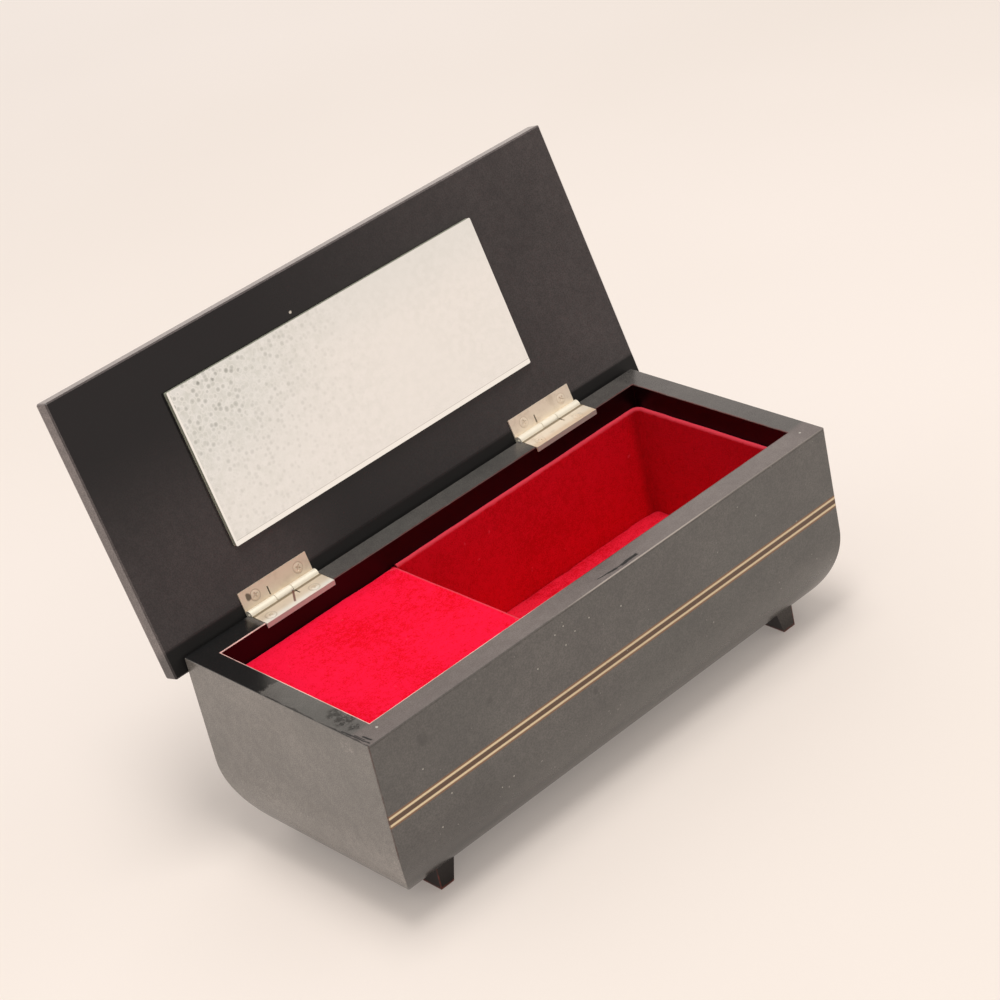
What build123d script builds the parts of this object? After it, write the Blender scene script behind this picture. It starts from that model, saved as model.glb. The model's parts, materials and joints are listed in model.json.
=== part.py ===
from build123d import *

import math
import os

# Musical jewelry box: a black lacquered case with walls that curve in to a flat underside,
# four tapered feet, a mirrored lid on two small hinges, a velvet-lined compartment and
# a wind-up movement under a velvet-covered board. Millimetres, origin on the table under
# the middle of the case, X along the length, Y to the back, Z up.

os.makedirs("parts", exist_ok=True)

# Case
case_length = 200.0
case_depth = 88.3
case_height = 63.0
foot_height = 7.0
end_wall = 8.1
side_wall = 8.7
board_thickness = 8.0
curve_height = 23.9
side_inset = 11.37
end_inset = 7.8

# Feet
foot_end_inset = 23.4
foot_width = 5.15
foot_flare = 2.7
foot_length = 14.0
foot_side_inset = 9.95
foot_top_rise = 3.0
foot_edge = 0.4

# Lid, measured along its own slope from the hinge axis
lid_overhang = 4.65
lid_depth = 95.2
lid_thickness = 7.6
lid_tail = 5.2
lid_open = 106.7
lid_outer_round = 2.2
lid_inner_round = 0.5
lid_corner_round = 0.6

# Mirror on the lid
mirror_length = 129.6
mirror_width = 53.5
mirror_thickness = 1.7
mirror_shift = -2.4
mirror_start = 21.2
mirror_corner = 0.5

# Hinges
hinge_inset = 40.5
hinge_length = 28.0
knuckle_length = 6.8
knuckle_radius = 1.6
pin_radius = 0.8
pin_end = 0.2
leaf_thickness = 0.5
lid_leaf_width = 7.7
leaf_drop = 1.8
leaf_slot_length = 3.0
leaf_slot_width = 0.5
axis_drop = 0.3
axis_back = 0.07
running_gap = 0.05
knuckle_gap = 0.15
seat_gap = 0.1

# Hinge screws
screw_head = 1.75
screw_dome = 0.35
screw_shank = 0.85
screw_length = 5.5
screw_cone = 0.8
lid_screw_rise = 4.4
lid_screw_left = -8.4
lid_screw_right = 9.4
case_screw_left = -10.2
case_screw_right = 7.8
case_screw_inset = 2.3

# Velvet lining and boards inside
cover_below_rim = 8.3
cover_board_thickness = 2.4
velvet_thickness = 0.8
movement_room = 69.9
divider_thickness = 2.5
liner_thickness = 1.5
liner_below_rim = 7.8
liner_edge = 0.6
pad_thickness = 6.5
pad_edge = 1.5
cleat_width = 5.0
cleat_height = 6.0
lining_gap = 0.2

# Movement: bedplate and the place of the winding axis
winding_inset = 16.9
winding_back = 2.0
bed_left = 15.0
bed_right = 44.5
bed_front = 29.0
bed_back = 26.0
bed_thickness = 2.5
bed_corner = 4.0
bed_window_margin = 0.8
lug_width = 5.0
lug_cap = 2.5
near_lug_thickness = 1.8
far_lug_thickness = 2.0

# Movement: great wheel, spring and key
great_teeth = 36
great_pitch_radius = 13.5
great_face = 1.8
great_disc = 2.0
great_tooth_height = 1.05
great_lift = 0.8
arbor_radius = 1.6
housing_radius = 11.5
housing_wall = 0.8
housing_height = 11.0
housing_lift = 1.0
leg_radius = 1.7
leg_reach = 17.2
spring_strip = 0.45
spring_pitch = 1.6
spring_turns = 4
spring_height = 8.0
key_width = 22.0
key_wing_height = 5.0
key_wing_thickness = 1.8
key_wing_hole = 1.2
key_hub_radius = 2.8
key_hole_radius = 7.5
key_clearance = 0.5

# Movement: cylinder and comb
pinion_teeth = 9
pinion_length = 2.8
pinion_addendum = 0.5
pinion_dedendum = 0.6
tooth_share = 0.35
mesh_clearance = 0.1
cylinder_radius = 6.5
cylinder_length = 21.0
cylinder_arbor_radius = 0.9
note_count = 18
pins_per_note = 3
pin_size = 0.3
pin_height = 0.4
end_float = 0.4
wheel_teeth = 30
gear_module = 0.5
wheel_thickness = 1.5
comb_thickness = 1.2
comb_base_depth = 7.0
comb_slit = 0.28
comb_short_tooth = 8.0
comb_long_tooth = 12.5
comb_tip_gap = 0.15
comb_margin = 1.6
comb_screw_radius = 1.1
comb_screw_head = 2.1
comb_screw_head_height = 1.2

# Movement: governor and stop
axle_radius = 0.6
axle_pinion_teeth = 10
worm_wheel_teeth = 20
worm_wheel_thickness = 1.2
worm_radius = 1.3
worm_pitch = 1.6
worm_turns = 4
worm_gap = 0.15
fly_radius = 4.6
fly_height = 3.0
fly_thickness = 0.4
frame_plate = 1.0
frame_base = 1.5
stop_reach = 10.0
stop_travel = 2.0
stop_arm_width = 1.6
stop_arm_thickness = 0.8
stop_post_radius = 0.9

# Bedplate screws through the bottom board
bed_screw_radius = 1.3
bed_screw_head = 2.6
bed_screw_head_height = 1.6

# Levels and inner faces that the pieces share
rim_z = foot_height + case_height
curve_z = foot_height + curve_height
board_top = foot_height + board_thickness
inner_x = case_length / 2 - end_wall
inner_y = case_depth / 2 - side_wall
foot_gap = case_length - 2 * foot_end_inset
foot_front = case_depth / 2 - foot_side_inset
lid_length = case_length + 2 * lid_overhang
hinge_spread = case_length - 2 * hinge_inset
divider_x = movement_room - inner_x
movement_x = winding_inset - inner_x
movement_y = winding_back
hinge_y = case_depth / 2 + axis_back
hinge_z = rim_z - axis_drop
cover_top = rim_z - cover_below_rim
cover_bottom = cover_top - velvet_thickness - cover_board_thickness
pad_top = board_top + pad_thickness
liner_top = rim_z - liner_below_rim

# The open lid: up its slope and towards the box, seen from the hinge axis
slope = (0, -math.cos(math.radians(lid_open)), math.sin(math.radians(lid_open)))
inward = (0, -math.sin(math.radians(lid_open)), -math.cos(math.radians(lid_open)))
lid_face = Plane(origin=(0, hinge_y, hinge_z), x_dir=(1, 0, 0), z_dir=inward).offset(-knuckle_radius)


def save(part, name):
    """Labels a finished piece and writes its STEP file."""
    part.label = name
    export_step(part, f"parts/{name}.step")


# Outer form of the case


def case_section(plane, width, inset):
    """An upright section: straight walls that curve in, tangent, to the flat underside."""
    half = width / 2
    foot = half - inset
    with BuildSketch(plane) as section:
        with BuildLine():
            Line((-half, rim_z), (half, rim_z))
            Line((half, rim_z), (half, curve_z))
            TangentArc((half, curve_z), (foot, foot_height), tangent=(0, -1))
            Line((foot, foot_height), (-foot, foot_height))
            TangentArc((-half, curve_z), (-foot, foot_height), tangent=(0, -1))
            Line((-half, curve_z), (-half, rim_z))
        make_face()
    return section.sketch


with BuildPart() as case_form:
    extrude(case_section(Plane.YZ, case_depth, side_inset), amount=case_length / 2, both=True)
    extrude(
        case_section(Plane.XZ, case_length, end_inset),
        amount=case_depth / 2,
        both=True,
        mode=Mode.INTERSECT,
    )


# Screws and the holes they leave


def screw_solid(growth):
    """An oval-head wood screw standing on its head's edge, grown all over by a clearance."""
    shank = screw_shank + growth
    head = screw_head + growth
    with BuildPart() as screw:
        with BuildSketch(Plane.XZ):
            with BuildLine():
                Polyline(
                    (0, screw_dome + growth),
                    (0, -screw_length - growth),
                    (shank, shank - screw_length),
                    (shank, -screw_cone),
                    (head, 0),
                    (head / 2, screw_dome + growth),
                    close=True,
                )
            make_face()
        revolve(axis=Axis.Z)
    return screw.part


hinge_centres = [(-hinge_spread / 2, "left"), (hinge_spread / 2, "right")]
lid_screw_face = lid_face.offset(leaf_thickness)
lid_screw_places = [
    lid_screw_face.location * Location((centre + x, lid_screw_rise, 0))
    for centre, side in hinge_centres
    for x in (lid_screw_left, lid_screw_right)
]
case_screw_places = [
    Location((centre + x, inner_y + case_screw_inset, rim_z))
    for centre, side in hinge_centres
    for x in (case_screw_left, case_screw_right)
]
screw = screw_solid(0)
screw_hole = screw_solid(running_gap)

with BuildPart() as hinge_screws_case:
    with Locations(*case_screw_places):
        add(screw)
save(hinge_screws_case.part, "hinge_screws_case")

with BuildPart() as hinge_screws_lid:
    with Locations(*lid_screw_places):
        add(screw)
save(hinge_screws_lid.part, "hinge_screws_lid")

# Front and back panels between the end panels
panel_height = rim_z - board_top

with BuildPart() as panel_front:
    with BuildSketch(Plane.XY.offset(board_top)):
        with Locations((0, side_wall / 2 - case_depth / 2)):
            Rectangle(2 * inner_x, side_wall)
    extrude(amount=panel_height)
    add(case_form.part, mode=Mode.INTERSECT)
save(panel_front.part, "panel_front")

barrel_seat = knuckle_radius + knuckle_gap
hinge_seat_length = hinge_length + 2 * (pin_end + seat_gap)

with BuildPart() as panel_back:
    with BuildSketch(Plane.XY.offset(board_top)):
        with Locations((0, case_depth / 2 - side_wall / 2)):
            Rectangle(2 * inner_x, side_wall)
    extrude(amount=panel_height)
    add(case_form.part, mode=Mode.INTERSECT)
    # Seats of the two hinges: a shallow one for the leaf and a round one for the barrel
    for centre, side in hinge_centres:
        with BuildSketch(Plane.XY.offset(rim_z - leaf_thickness)):
            with Locations((centre, (inner_y + case_depth / 2) / 2)):
                Rectangle(hinge_seat_length, side_wall)
        extrude(amount=leaf_thickness, mode=Mode.SUBTRACT)
        with BuildSketch(Plane.YZ.offset(centre)):
            with Locations((hinge_y, hinge_z)):
                Circle(barrel_seat)
        extrude(amount=hinge_seat_length / 2, both=True, mode=Mode.SUBTRACT)
    with Locations(*case_screw_places):
        add(screw_hole, mode=Mode.SUBTRACT)
save(panel_back.part, "panel_back")

# End panels over the full depth


def end_panel(sign):
    """One end of the case, from the bottom board to the rim."""
    with BuildPart() as panel:
        with BuildSketch(Plane.XY.offset(board_top)):
            with Locations((sign * (inner_x + end_wall / 2), 0)):
                Rectangle(end_wall, case_depth)
        extrude(amount=panel_height)
        add(case_form.part, mode=Mode.INTERSECT)
    return panel.part


for sign, side in ((-1, "left"), (1, "right")):
    save(end_panel(sign), f"panel_{side}")

# Bedplate screws stand on the winding axis' own layout
bed_thread_top = board_top + bed_thickness
bed_screw_spots = [
    (movement_x - bed_left + 5.0, movement_y - bed_front + 5.0),
    (movement_x + bed_right - 5.0, movement_y - bed_front + 5.0),
    (movement_x - bed_left + 5.0, movement_y + bed_back - 5.0),
]

with BuildPart() as board_bottom:
    with BuildSketch(Plane.XY.offset(foot_height)):
        Rectangle(case_length, case_depth)
    extrude(amount=board_thickness)
    add(case_form.part, mode=Mode.INTERSECT)
    with BuildSketch(Plane.XY.offset(foot_height)):
        with Locations((movement_x, movement_y)):
            Circle(key_hole_radius)
        with Locations(*bed_screw_spots):
            Circle(bed_screw_radius + running_gap)
    extrude(amount=board_thickness, mode=Mode.SUBTRACT)
    with BuildSketch(Plane.XY.offset(foot_height)):
        with Locations(*bed_screw_spots):
            Circle(bed_screw_head + seat_gap)
    extrude(amount=bed_screw_head_height, mode=Mode.SUBTRACT)
save(board_bottom.part, "board_bottom")

with BuildPart() as bedplate_screws:
    with BuildSketch(Plane.XY.offset(foot_height)):
        with Locations(*bed_screw_spots):
            Circle(bed_screw_head)
    extrude(amount=bed_screw_head_height)
    with BuildSketch(Plane.XY.offset(foot_height)):
        with Locations(*bed_screw_spots):
            Circle(bed_screw_radius)
    extrude(amount=bed_thread_top - foot_height)
save(bedplate_screws.part, "bedplate_screws")

# Feet: upright outside, flared inside, their tops cut by the curve of the case


def foot(sign_x, sign_y):
    """One tapered foot under a corner."""
    inner = foot_gap / 2
    outer = inner + foot_width
    top = foot_height + foot_top_rise
    with BuildPart() as block:
        with BuildSketch(Plane.XZ.offset(-sign_y * foot_front)):
            Polygon(
                (sign_x * inner, 0),
                (sign_x * outer, 0),
                (sign_x * outer, top),
                (sign_x * (inner - foot_flare), top),
                align=None,
            )
        extrude(amount=sign_y * foot_length)
        chamfer(block.faces().sort_by(Axis.Z)[0].edges(), length=foot_edge)
        add(case_form.part, mode=Mode.SUBTRACT)
    return block.part


for sign_y, end in ((-1, "front"), (1, "back")):
    for sign_x, side in ((-1, "left"), (1, "right")):
        save(foot(sign_x, sign_y), f"foot_{end}_{side}")

# Lid
with BuildPart() as lid_panel:
    with BuildSketch(lid_face):
        with Locations((0, lid_depth / 2 - lid_tail)):
            RectangleRounded(lid_length, lid_depth, lid_corner_round)
    extrude(amount=-lid_thickness)
    across = Axis((0, hinge_y, hinge_z), inward)
    fillet(lid_panel.faces().sort_by(across)[0].edges(), radius=lid_outer_round)
    chamfer(lid_panel.faces().sort_by(across)[-1].edges(), length=lid_inner_round)
    with Locations(*lid_screw_places):
        add(screw_hole, mode=Mode.SUBTRACT)
save(lid_panel.part, "lid_panel")

with BuildPart() as mirror:
    with BuildSketch(lid_face):
        with Locations((mirror_shift, mirror_start + mirror_width / 2)):
            RectangleRounded(mirror_length, mirror_width, mirror_corner)
    extrude(amount=mirror_thickness)
save(mirror.part, "mirror")

# Hinges: the case leaf has the outer knuckles, the lid leaf has the middle one
pin_bore = pin_radius + running_gap
middle_half = knuckle_length / 2


def case_leaf(centre):
    """Leaf let into the rim, bent down over the panel's inner edge, with two knuckles."""
    edge = inner_y - leaf_thickness
    with BuildPart() as leaf:
        with BuildSketch(Plane.YZ.offset(centre)):
            with Locations(((edge + hinge_y) / 2, rim_z - leaf_thickness / 2)):
                Rectangle(hinge_y - edge, leaf_thickness)
            with Locations((inner_y - leaf_thickness / 2, rim_z - leaf_drop / 2)):
                Rectangle(leaf_thickness, leaf_drop)
            with Locations((hinge_y, hinge_z)):
                Circle(knuckle_radius)
                Circle(pin_bore, mode=Mode.SUBTRACT)
        extrude(amount=hinge_length / 2, both=True)
        # Room for the lid's knuckle, with a relief slot beside it
        with BuildSketch(Plane.XY.offset(rim_z - barrel_seat - axis_drop)):
            with Locations((centre, hinge_y)):
                Rectangle(knuckle_length + 2 * seat_gap, 2 * barrel_seat)
            with Locations((centre + middle_half, hinge_y - barrel_seat - leaf_slot_length / 2)):
                Rectangle(leaf_slot_width, leaf_slot_length)
        extrude(amount=2 * barrel_seat, mode=Mode.SUBTRACT)
        with Locations(*case_screw_places):
            add(screw_hole, mode=Mode.SUBTRACT)
    return leaf.part


def lid_leaf(centre):
    """Leaf on the lid's inner face, curled round the pin in the middle."""
    side_plane = Plane(origin=(centre, hinge_y, hinge_z), x_dir=slope, z_dir=(1, 0, 0))
    outer_length = (hinge_length - knuckle_length) / 2 + seat_gap
    with BuildPart() as leaf:
        with BuildSketch(side_plane):
            with Locations((lid_leaf_width / 2, leaf_thickness / 2 - knuckle_radius)):
                Rectangle(lid_leaf_width, leaf_thickness)
            Circle(knuckle_radius)
        extrude(amount=hinge_length / 2, both=True)
        with BuildSketch(side_plane):
            Circle(pin_bore)
        extrude(amount=hinge_length / 2, both=True, mode=Mode.SUBTRACT)
        # Room for the two knuckles of the case leaf
        for start in (-hinge_length / 2, hinge_length / 2 - outer_length):
            with BuildSketch(side_plane.offset(start)):
                Circle(barrel_seat)
            extrude(amount=outer_length, mode=Mode.SUBTRACT)
        with BuildSketch(lid_face.offset(-leaf_thickness)):
            with Locations((centre - middle_half, barrel_seat + leaf_slot_length / 2)):
                Rectangle(leaf_slot_width, leaf_slot_length)
        extrude(amount=3 * leaf_thickness, mode=Mode.SUBTRACT)
        with Locations(*lid_screw_places):
            add(screw_hole, mode=Mode.SUBTRACT)
    return leaf.part


def hinge_pin(centre):
    """Pin through the three knuckles, with its ends rounded over."""
    length = hinge_length + 2 * pin_end
    with BuildPart() as pin:
        with BuildSketch(Plane.YZ.offset(centre - length / 2)):
            with Locations((hinge_y, hinge_z)):
                Circle(pin_radius)
        extrude(amount=length)
        chamfer(pin.edges().filter_by(GeomType.CIRCLE), length=pin_radius / 2)
    return pin.part


for centre, side in hinge_centres:
    save(case_leaf(centre), f"hinge_case_leaf_{side}")
    save(lid_leaf(centre), f"hinge_lid_leaf_{side}")
    save(hinge_pin(centre), f"hinge_pin_{side}")

# Cover over the movement and the divider that closes its compartment
cover_left = lining_gap - inner_x
cover_right = divider_x - velvet_thickness
cover_depth = 2 * (inner_y - lining_gap)

with BuildPart() as cover_board:
    with BuildSketch(Plane.XY.offset(cover_bottom)):
        with Locations(((cover_left + cover_right) / 2, 0)):
            Rectangle(cover_right - cover_left, cover_depth)
    extrude(amount=cover_board_thickness)
save(cover_board.part, "cover_board")

with BuildPart() as cover_velvet:
    with BuildSketch(Plane.XZ):
        Polygon(
            (cover_left, cover_top - velvet_thickness),
            (cover_right, cover_top - velvet_thickness),
            (cover_right, cover_bottom),
            (divider_x, cover_bottom),
            (divider_x, cover_top),
            (cover_left, cover_top),
            align=None,
        )
    extrude(amount=cover_depth / 2, both=True)
    outer_edges = cover_velvet.edges().filter_by(Axis.Y).group_by(Axis.X)[-1]
    fillet(outer_edges.sort_by(Axis.Z)[-1], radius=velvet_thickness)
save(cover_velvet.part, "cover_velvet")

divider_face = divider_x - velvet_thickness

with BuildPart() as divider_board:
    with BuildSketch(Plane.XY.offset(board_top)):
        with Locations((divider_face - divider_thickness / 2, 0)):
            Rectangle(divider_thickness, cover_depth)
    extrude(amount=cover_bottom - board_top)
save(divider_board.part, "divider_board")

with BuildPart() as divider_velvet:
    with BuildSketch(Plane.XY.offset(pad_top)):
        with Locations((divider_face + velvet_thickness / 2, 0)):
            Rectangle(velvet_thickness, 2 * (inner_y - liner_thickness - lining_gap))
    extrude(amount=cover_bottom - pad_top)
save(divider_velvet.part, "divider_velvet")

cleat_length = divider_face - divider_thickness + inner_x - 2 * lining_gap

for sign, end in ((-1, "front"), (1, "back")):
    with BuildPart() as cleat:
        with BuildSketch(Plane.XY.offset(cover_bottom - cleat_height)):
            with Locations((lining_gap - inner_x + cleat_length / 2, sign * (inner_y - cleat_width / 2))):
                Rectangle(cleat_length, cleat_width)
        extrude(amount=cleat_height)
        chamfer(cleat.edges().filter_by(Axis.X).group_by(Axis.Z)[0], length=liner_thickness)
    save(cleat.part, f"cleat_{end}")

# Jewelry compartment: padded floor and velvet-covered card on three walls
pocket_length = inner_x - divider_face - lining_gap
pocket_middle = (inner_x + divider_face) / 2

with BuildPart() as floor_pad:
    with BuildSketch(Plane.XY.offset(board_top)):
        with Locations((pocket_middle, 0)):
            Rectangle(pocket_length, cover_depth)
    extrude(amount=pad_thickness)
    fillet(floor_pad.faces().sort_by(Axis.Z)[-1].edges().filter_by(Axis.Y), radius=pad_edge)
save(floor_pad.part, "floor_pad")

liner_height = liner_top - pad_top
liner_length = inner_x - divider_x - 2 * lining_gap

for sign, end in ((-1, "front"), (1, "back")):
    with BuildPart() as liner:
        with BuildSketch(Plane.XY.offset(pad_top)):
            with Locations((inner_x - liner_length / 2 - lining_gap, sign * (inner_y - liner_thickness / 2))):
                Rectangle(liner_length, liner_thickness)
        extrude(amount=liner_height)
        fillet(liner.faces().sort_by(Axis.Z)[-1].edges().filter_by(Axis.X), radius=liner_edge)
    save(liner.part, f"liner_{end}")

with BuildPart() as liner_right:
    with BuildSketch(Plane.XY.offset(pad_top)):
        with Locations((inner_x - liner_thickness / 2, 0)):
            Rectangle(liner_thickness, 2 * (inner_y - liner_thickness - lining_gap))
    extrude(amount=liner_height)
    fillet(liner_right.faces().sort_by(Axis.Z)[-1].edges().filter_by(Axis.Y), radius=liner_edge)
save(liner_right.part, "liner_right")

# Movement layout: every level and place follows from the winding axis and the gears
bed_top = board_top + bed_thickness
great_bottom = bed_top + great_lift
great_top = great_bottom + great_disc
great_radius = great_pitch_radius + great_face / 2
pinion_radius = great_pitch_radius * pinion_teeth / great_teeth
cylinder_z = great_top + mesh_clearance + pinion_addendum + pinion_radius
near_lug_x = movement_x + great_radius + end_float + near_lug_thickness / 2
pinion_end = near_lug_x - near_lug_thickness / 2 - end_float / 2
cylinder_start = near_lug_x + near_lug_thickness / 2 + end_float
cylinder_end = cylinder_start + cylinder_length
wheel_start = cylinder_end + end_float
far_lug_x = wheel_start + wheel_thickness + worm_wheel_thickness + 3 * end_float + far_lug_thickness / 2
wheel_radius = gear_module * wheel_teeth / 2
axle_pinion_radius = gear_module * axle_pinion_teeth / 2
axle_y = movement_y + wheel_radius + axle_pinion_radius + mesh_clearance
worm_wheel_radius = gear_module * worm_wheel_teeth / 2
worm_wheel_x = wheel_start + wheel_thickness + end_float + worm_wheel_thickness / 2
worm_y = axle_y + worm_wheel_radius + gear_module + worm_gap + worm_radius
pin_reach = cylinder_radius + pin_height


def toothed_disc(plane, teeth, pitch_radius, addendum, dedendum, phase):
    """A gear's face: a root circle with straight-sided teeth, the first turned by phase."""
    root = pitch_radius - dedendum
    tip = pitch_radius + addendum
    half_root = 1.25 * tooth_share * math.pi * pitch_radius / teeth
    half_tip = 0.6 * half_root
    with BuildSketch(plane) as face:
        Circle(root)
        with PolarLocations(0, teeth, start_angle=phase):
            Polygon(
                (root / 2, -half_root), (root, -half_root), (tip, -half_tip),
                (tip, half_tip), (root, half_root), (root / 2, half_root),
                align=None,
            )
    return face.sketch


# Bedplate: a casting with a window under the cylinder, two bearing lugs and the comb's seat
comb_length = cylinder_length
comb_x = (cylinder_start + cylinder_end) / 2
comb_tip_y = movement_y - pin_reach - comb_tip_gap
comb_root_y = comb_tip_y - comb_long_tooth
comb_back_y = comb_root_y - comb_base_depth
comb_bottom = cylinder_z - comb_thickness
window_start = cylinder_start - bed_window_margin
window_end = worm_wheel_x + worm_wheel_thickness / 2 + bed_window_margin
window_half = wheel_radius + gear_module + bed_window_margin
comb_screw_spots = [
    (comb_x - comb_length / 4, comb_back_y + comb_base_depth / 2),
    (comb_x + comb_length / 4, comb_back_y + comb_base_depth / 2),
]

with BuildPart() as bedplate:
    with BuildSketch(Plane.XY.offset(board_top)):
        with Locations((movement_x + (bed_right - bed_left) / 2, movement_y + (bed_back - bed_front) / 2)):
            RectangleRounded(bed_left + bed_right, bed_front + bed_back, bed_corner)
        with Locations(((window_start + window_end) / 2, movement_y)):
            Rectangle(window_end - window_start, 2 * window_half, mode=Mode.SUBTRACT)
        with Locations((movement_x, movement_y)):
            Circle(arbor_radius + running_gap, mode=Mode.SUBTRACT)
        with Locations(*bed_screw_spots):
            Circle(bed_screw_radius + running_gap, mode=Mode.SUBTRACT)
    extrude(amount=bed_thickness)
    # Seat that lifts the comb level with the cylinder's axis
    with BuildSketch(Plane.XY.offset(bed_top)):
        with Locations((comb_x, comb_back_y + comb_base_depth / 2)):
            Rectangle(comb_length, comb_base_depth)
    extrude(amount=comb_bottom - bed_top)
    with BuildSketch(Plane.XY.offset(board_top)):
        with Locations(*comb_screw_spots):
            Circle(comb_screw_radius + running_gap)
    extrude(amount=comb_bottom - board_top, mode=Mode.SUBTRACT)
    # Lugs that carry the cylinder's arbor
    for lug_x, thickness in ((near_lug_x, near_lug_thickness), (far_lug_x, far_lug_thickness)):
        with BuildSketch(Plane.YZ.offset(lug_x - thickness / 2)):
            with Locations((movement_y, (board_top + cylinder_z) / 2)):
                Rectangle(lug_width, cylinder_z - board_top)
            with Locations((movement_y, cylinder_z)):
                Circle(lug_cap)
                Circle(cylinder_arbor_radius + running_gap, mode=Mode.SUBTRACT)
        extrude(amount=thickness)
save(bedplate.part, "bedplate")

# Spring housing: a drawn cup on two legs that straddle the great wheel
housing_bottom = great_top + great_tooth_height + housing_lift
housing_top = housing_bottom + housing_height
leg_spots = [(movement_x, movement_y - leg_reach), (movement_x, movement_y + leg_reach)]

with BuildPart() as spring_housing:
    with BuildSketch(Plane.XY.offset(housing_bottom)):
        with Locations((movement_x, movement_y)):
            Circle(housing_radius)
    extrude(amount=housing_height)
    chamfer(spring_housing.edges().group_by(Axis.Z)[-1], length=housing_wall)
    with BuildSketch(Plane.XY.offset(housing_bottom)):
        with Locations((movement_x, movement_y)):
            Circle(housing_radius - housing_wall)
    extrude(amount=housing_height - housing_wall, mode=Mode.SUBTRACT)
    with BuildSketch(Plane.XY.offset(housing_bottom)):
        with Locations((movement_x, movement_y)):
            Rectangle(2 * leg_radius, 2 * leg_reach)
        with Locations(*leg_spots):
            Circle(leg_radius)
        with Locations((movement_x, movement_y)):
            Circle(housing_radius - housing_wall, mode=Mode.SUBTRACT)
    extrude(amount=housing_wall)
    with BuildSketch(Plane.XY.offset(bed_top)):
        with Locations(*leg_spots):
            Circle(leg_radius)
    extrude(amount=housing_bottom - bed_top)
    with BuildSketch(Plane.XY.offset(housing_bottom)):
        with Locations((movement_x, movement_y)):
            Circle(arbor_radius + running_gap)
    extrude(amount=housing_height, mode=Mode.SUBTRACT)
save(spring_housing.part, "spring_housing")

# Mainspring: one strip wound outwards in half turns, its outer coil against the housing
spring_bottom = housing_bottom + housing_wall
spring_outer = housing_radius - housing_wall - seat_gap

with BuildPart() as mainspring:
    with BuildSketch(Plane.XY.offset(spring_bottom)):
        with BuildLine():
            reach = spring_outer - spring_strip / 2
            side = 1
            for half_turn in range(2 * spring_turns):
                next_reach = reach - spring_pitch / 2
                middle = movement_x + side * (reach - next_reach) / 2
                CenterArc((middle, movement_y), (reach + next_reach) / 2, 90 - 90 * side, 180)
                reach = next_reach
                side = -side
        trace(line_width=spring_strip)
    extrude(amount=spring_height)
save(mainspring.part, "mainspring")

# Great wheel: upright teeth round its edge, seen as a gap straight ahead of the cylinder
with BuildPart() as great_wheel:
    with BuildSketch(Plane.XY.offset(great_bottom)):
        with Locations((movement_x, movement_y)):
            Circle(great_radius)
            Circle(arbor_radius, mode=Mode.SUBTRACT)
    extrude(amount=great_disc)
    with BuildSketch(Plane.XY.offset(great_top)):
        with Locations((movement_x, movement_y)):
            with PolarLocations(great_pitch_radius, great_teeth, start_angle=180 / great_teeth):
                Rectangle(great_face, 2 * math.pi * great_pitch_radius / great_teeth * tooth_share)
    extrude(amount=great_tooth_height)
    # Keep the outer corners of the teeth on the wheel's edge
    with BuildSketch(Plane.XY.offset(great_bottom)):
        with Locations((movement_x, movement_y)):
            Circle(great_radius)
    extrude(amount=great_disc + great_tooth_height, mode=Mode.INTERSECT)
save(great_wheel.part, "great_wheel")

# Winding arbor and the low wing key on its foot
key_wing_bottom = foot_height - key_clearance - key_wing_height
key_hub_top = board_top - key_clearance
arbor_bottom = foot_height

with BuildPart() as winding_arbor:
    with BuildSketch(Plane.XY.offset(arbor_bottom)):
        with Locations((movement_x, movement_y)):
            Circle(arbor_radius)
    extrude(amount=housing_top + seat_gap - arbor_bottom)
save(winding_arbor.part, "winding_arbor")

with BuildPart() as winding_key:
    with BuildSketch(Plane.XZ.offset(-movement_y)):
        with Locations((movement_x, key_wing_bottom + key_wing_height / 2)):
            SlotOverall(key_width, key_wing_height)
        with Locations(
            (movement_x - key_width / 3, key_wing_bottom + key_wing_height / 2),
            (movement_x + key_width / 3, key_wing_bottom + key_wing_height / 2),
        ):
            Circle(key_wing_hole, mode=Mode.SUBTRACT)
    extrude(amount=key_wing_thickness / 2, both=True)
    with BuildSketch(Plane.XY.offset(key_wing_bottom)):
        with Locations((movement_x, movement_y)):
            Circle(key_hub_radius)
    extrude(amount=key_hub_top - key_wing_bottom)
    with BuildSketch(Plane.XY.offset(arbor_bottom)):
        with Locations((movement_x, movement_y)):
            Circle(arbor_radius)
    extrude(amount=key_hub_top - arbor_bottom, mode=Mode.SUBTRACT)
save(winding_key.part, "winding_key")

# Cylinder: a drum with rows of pins, one row for each note
note_pitch = (cylinder_length - 2 * comb_margin) / note_count

with BuildPart() as cylinder:
    with BuildSketch(Plane.YZ.offset(cylinder_start)):
        with Locations((movement_y, cylinder_z)):
            Circle(cylinder_radius)
            Circle(cylinder_arbor_radius, mode=Mode.SUBTRACT)
    extrude(amount=cylinder_length)
    for note in range(note_count):
        row_x = cylinder_start + comb_margin + (note + 0.5) * note_pitch
        with BuildSketch(Plane.YZ.offset(row_x - pin_size / 2)):
            with Locations((movement_y, cylinder_z)):
                with PolarLocations(pin_reach / 2, pins_per_note, start_angle=note * 47):
                    Rectangle(pin_reach, pin_size)
                Circle(cylinder_radius - pin_size, mode=Mode.SUBTRACT)
        extrude(amount=pin_size)
save(cylinder.part, "cylinder")

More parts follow.
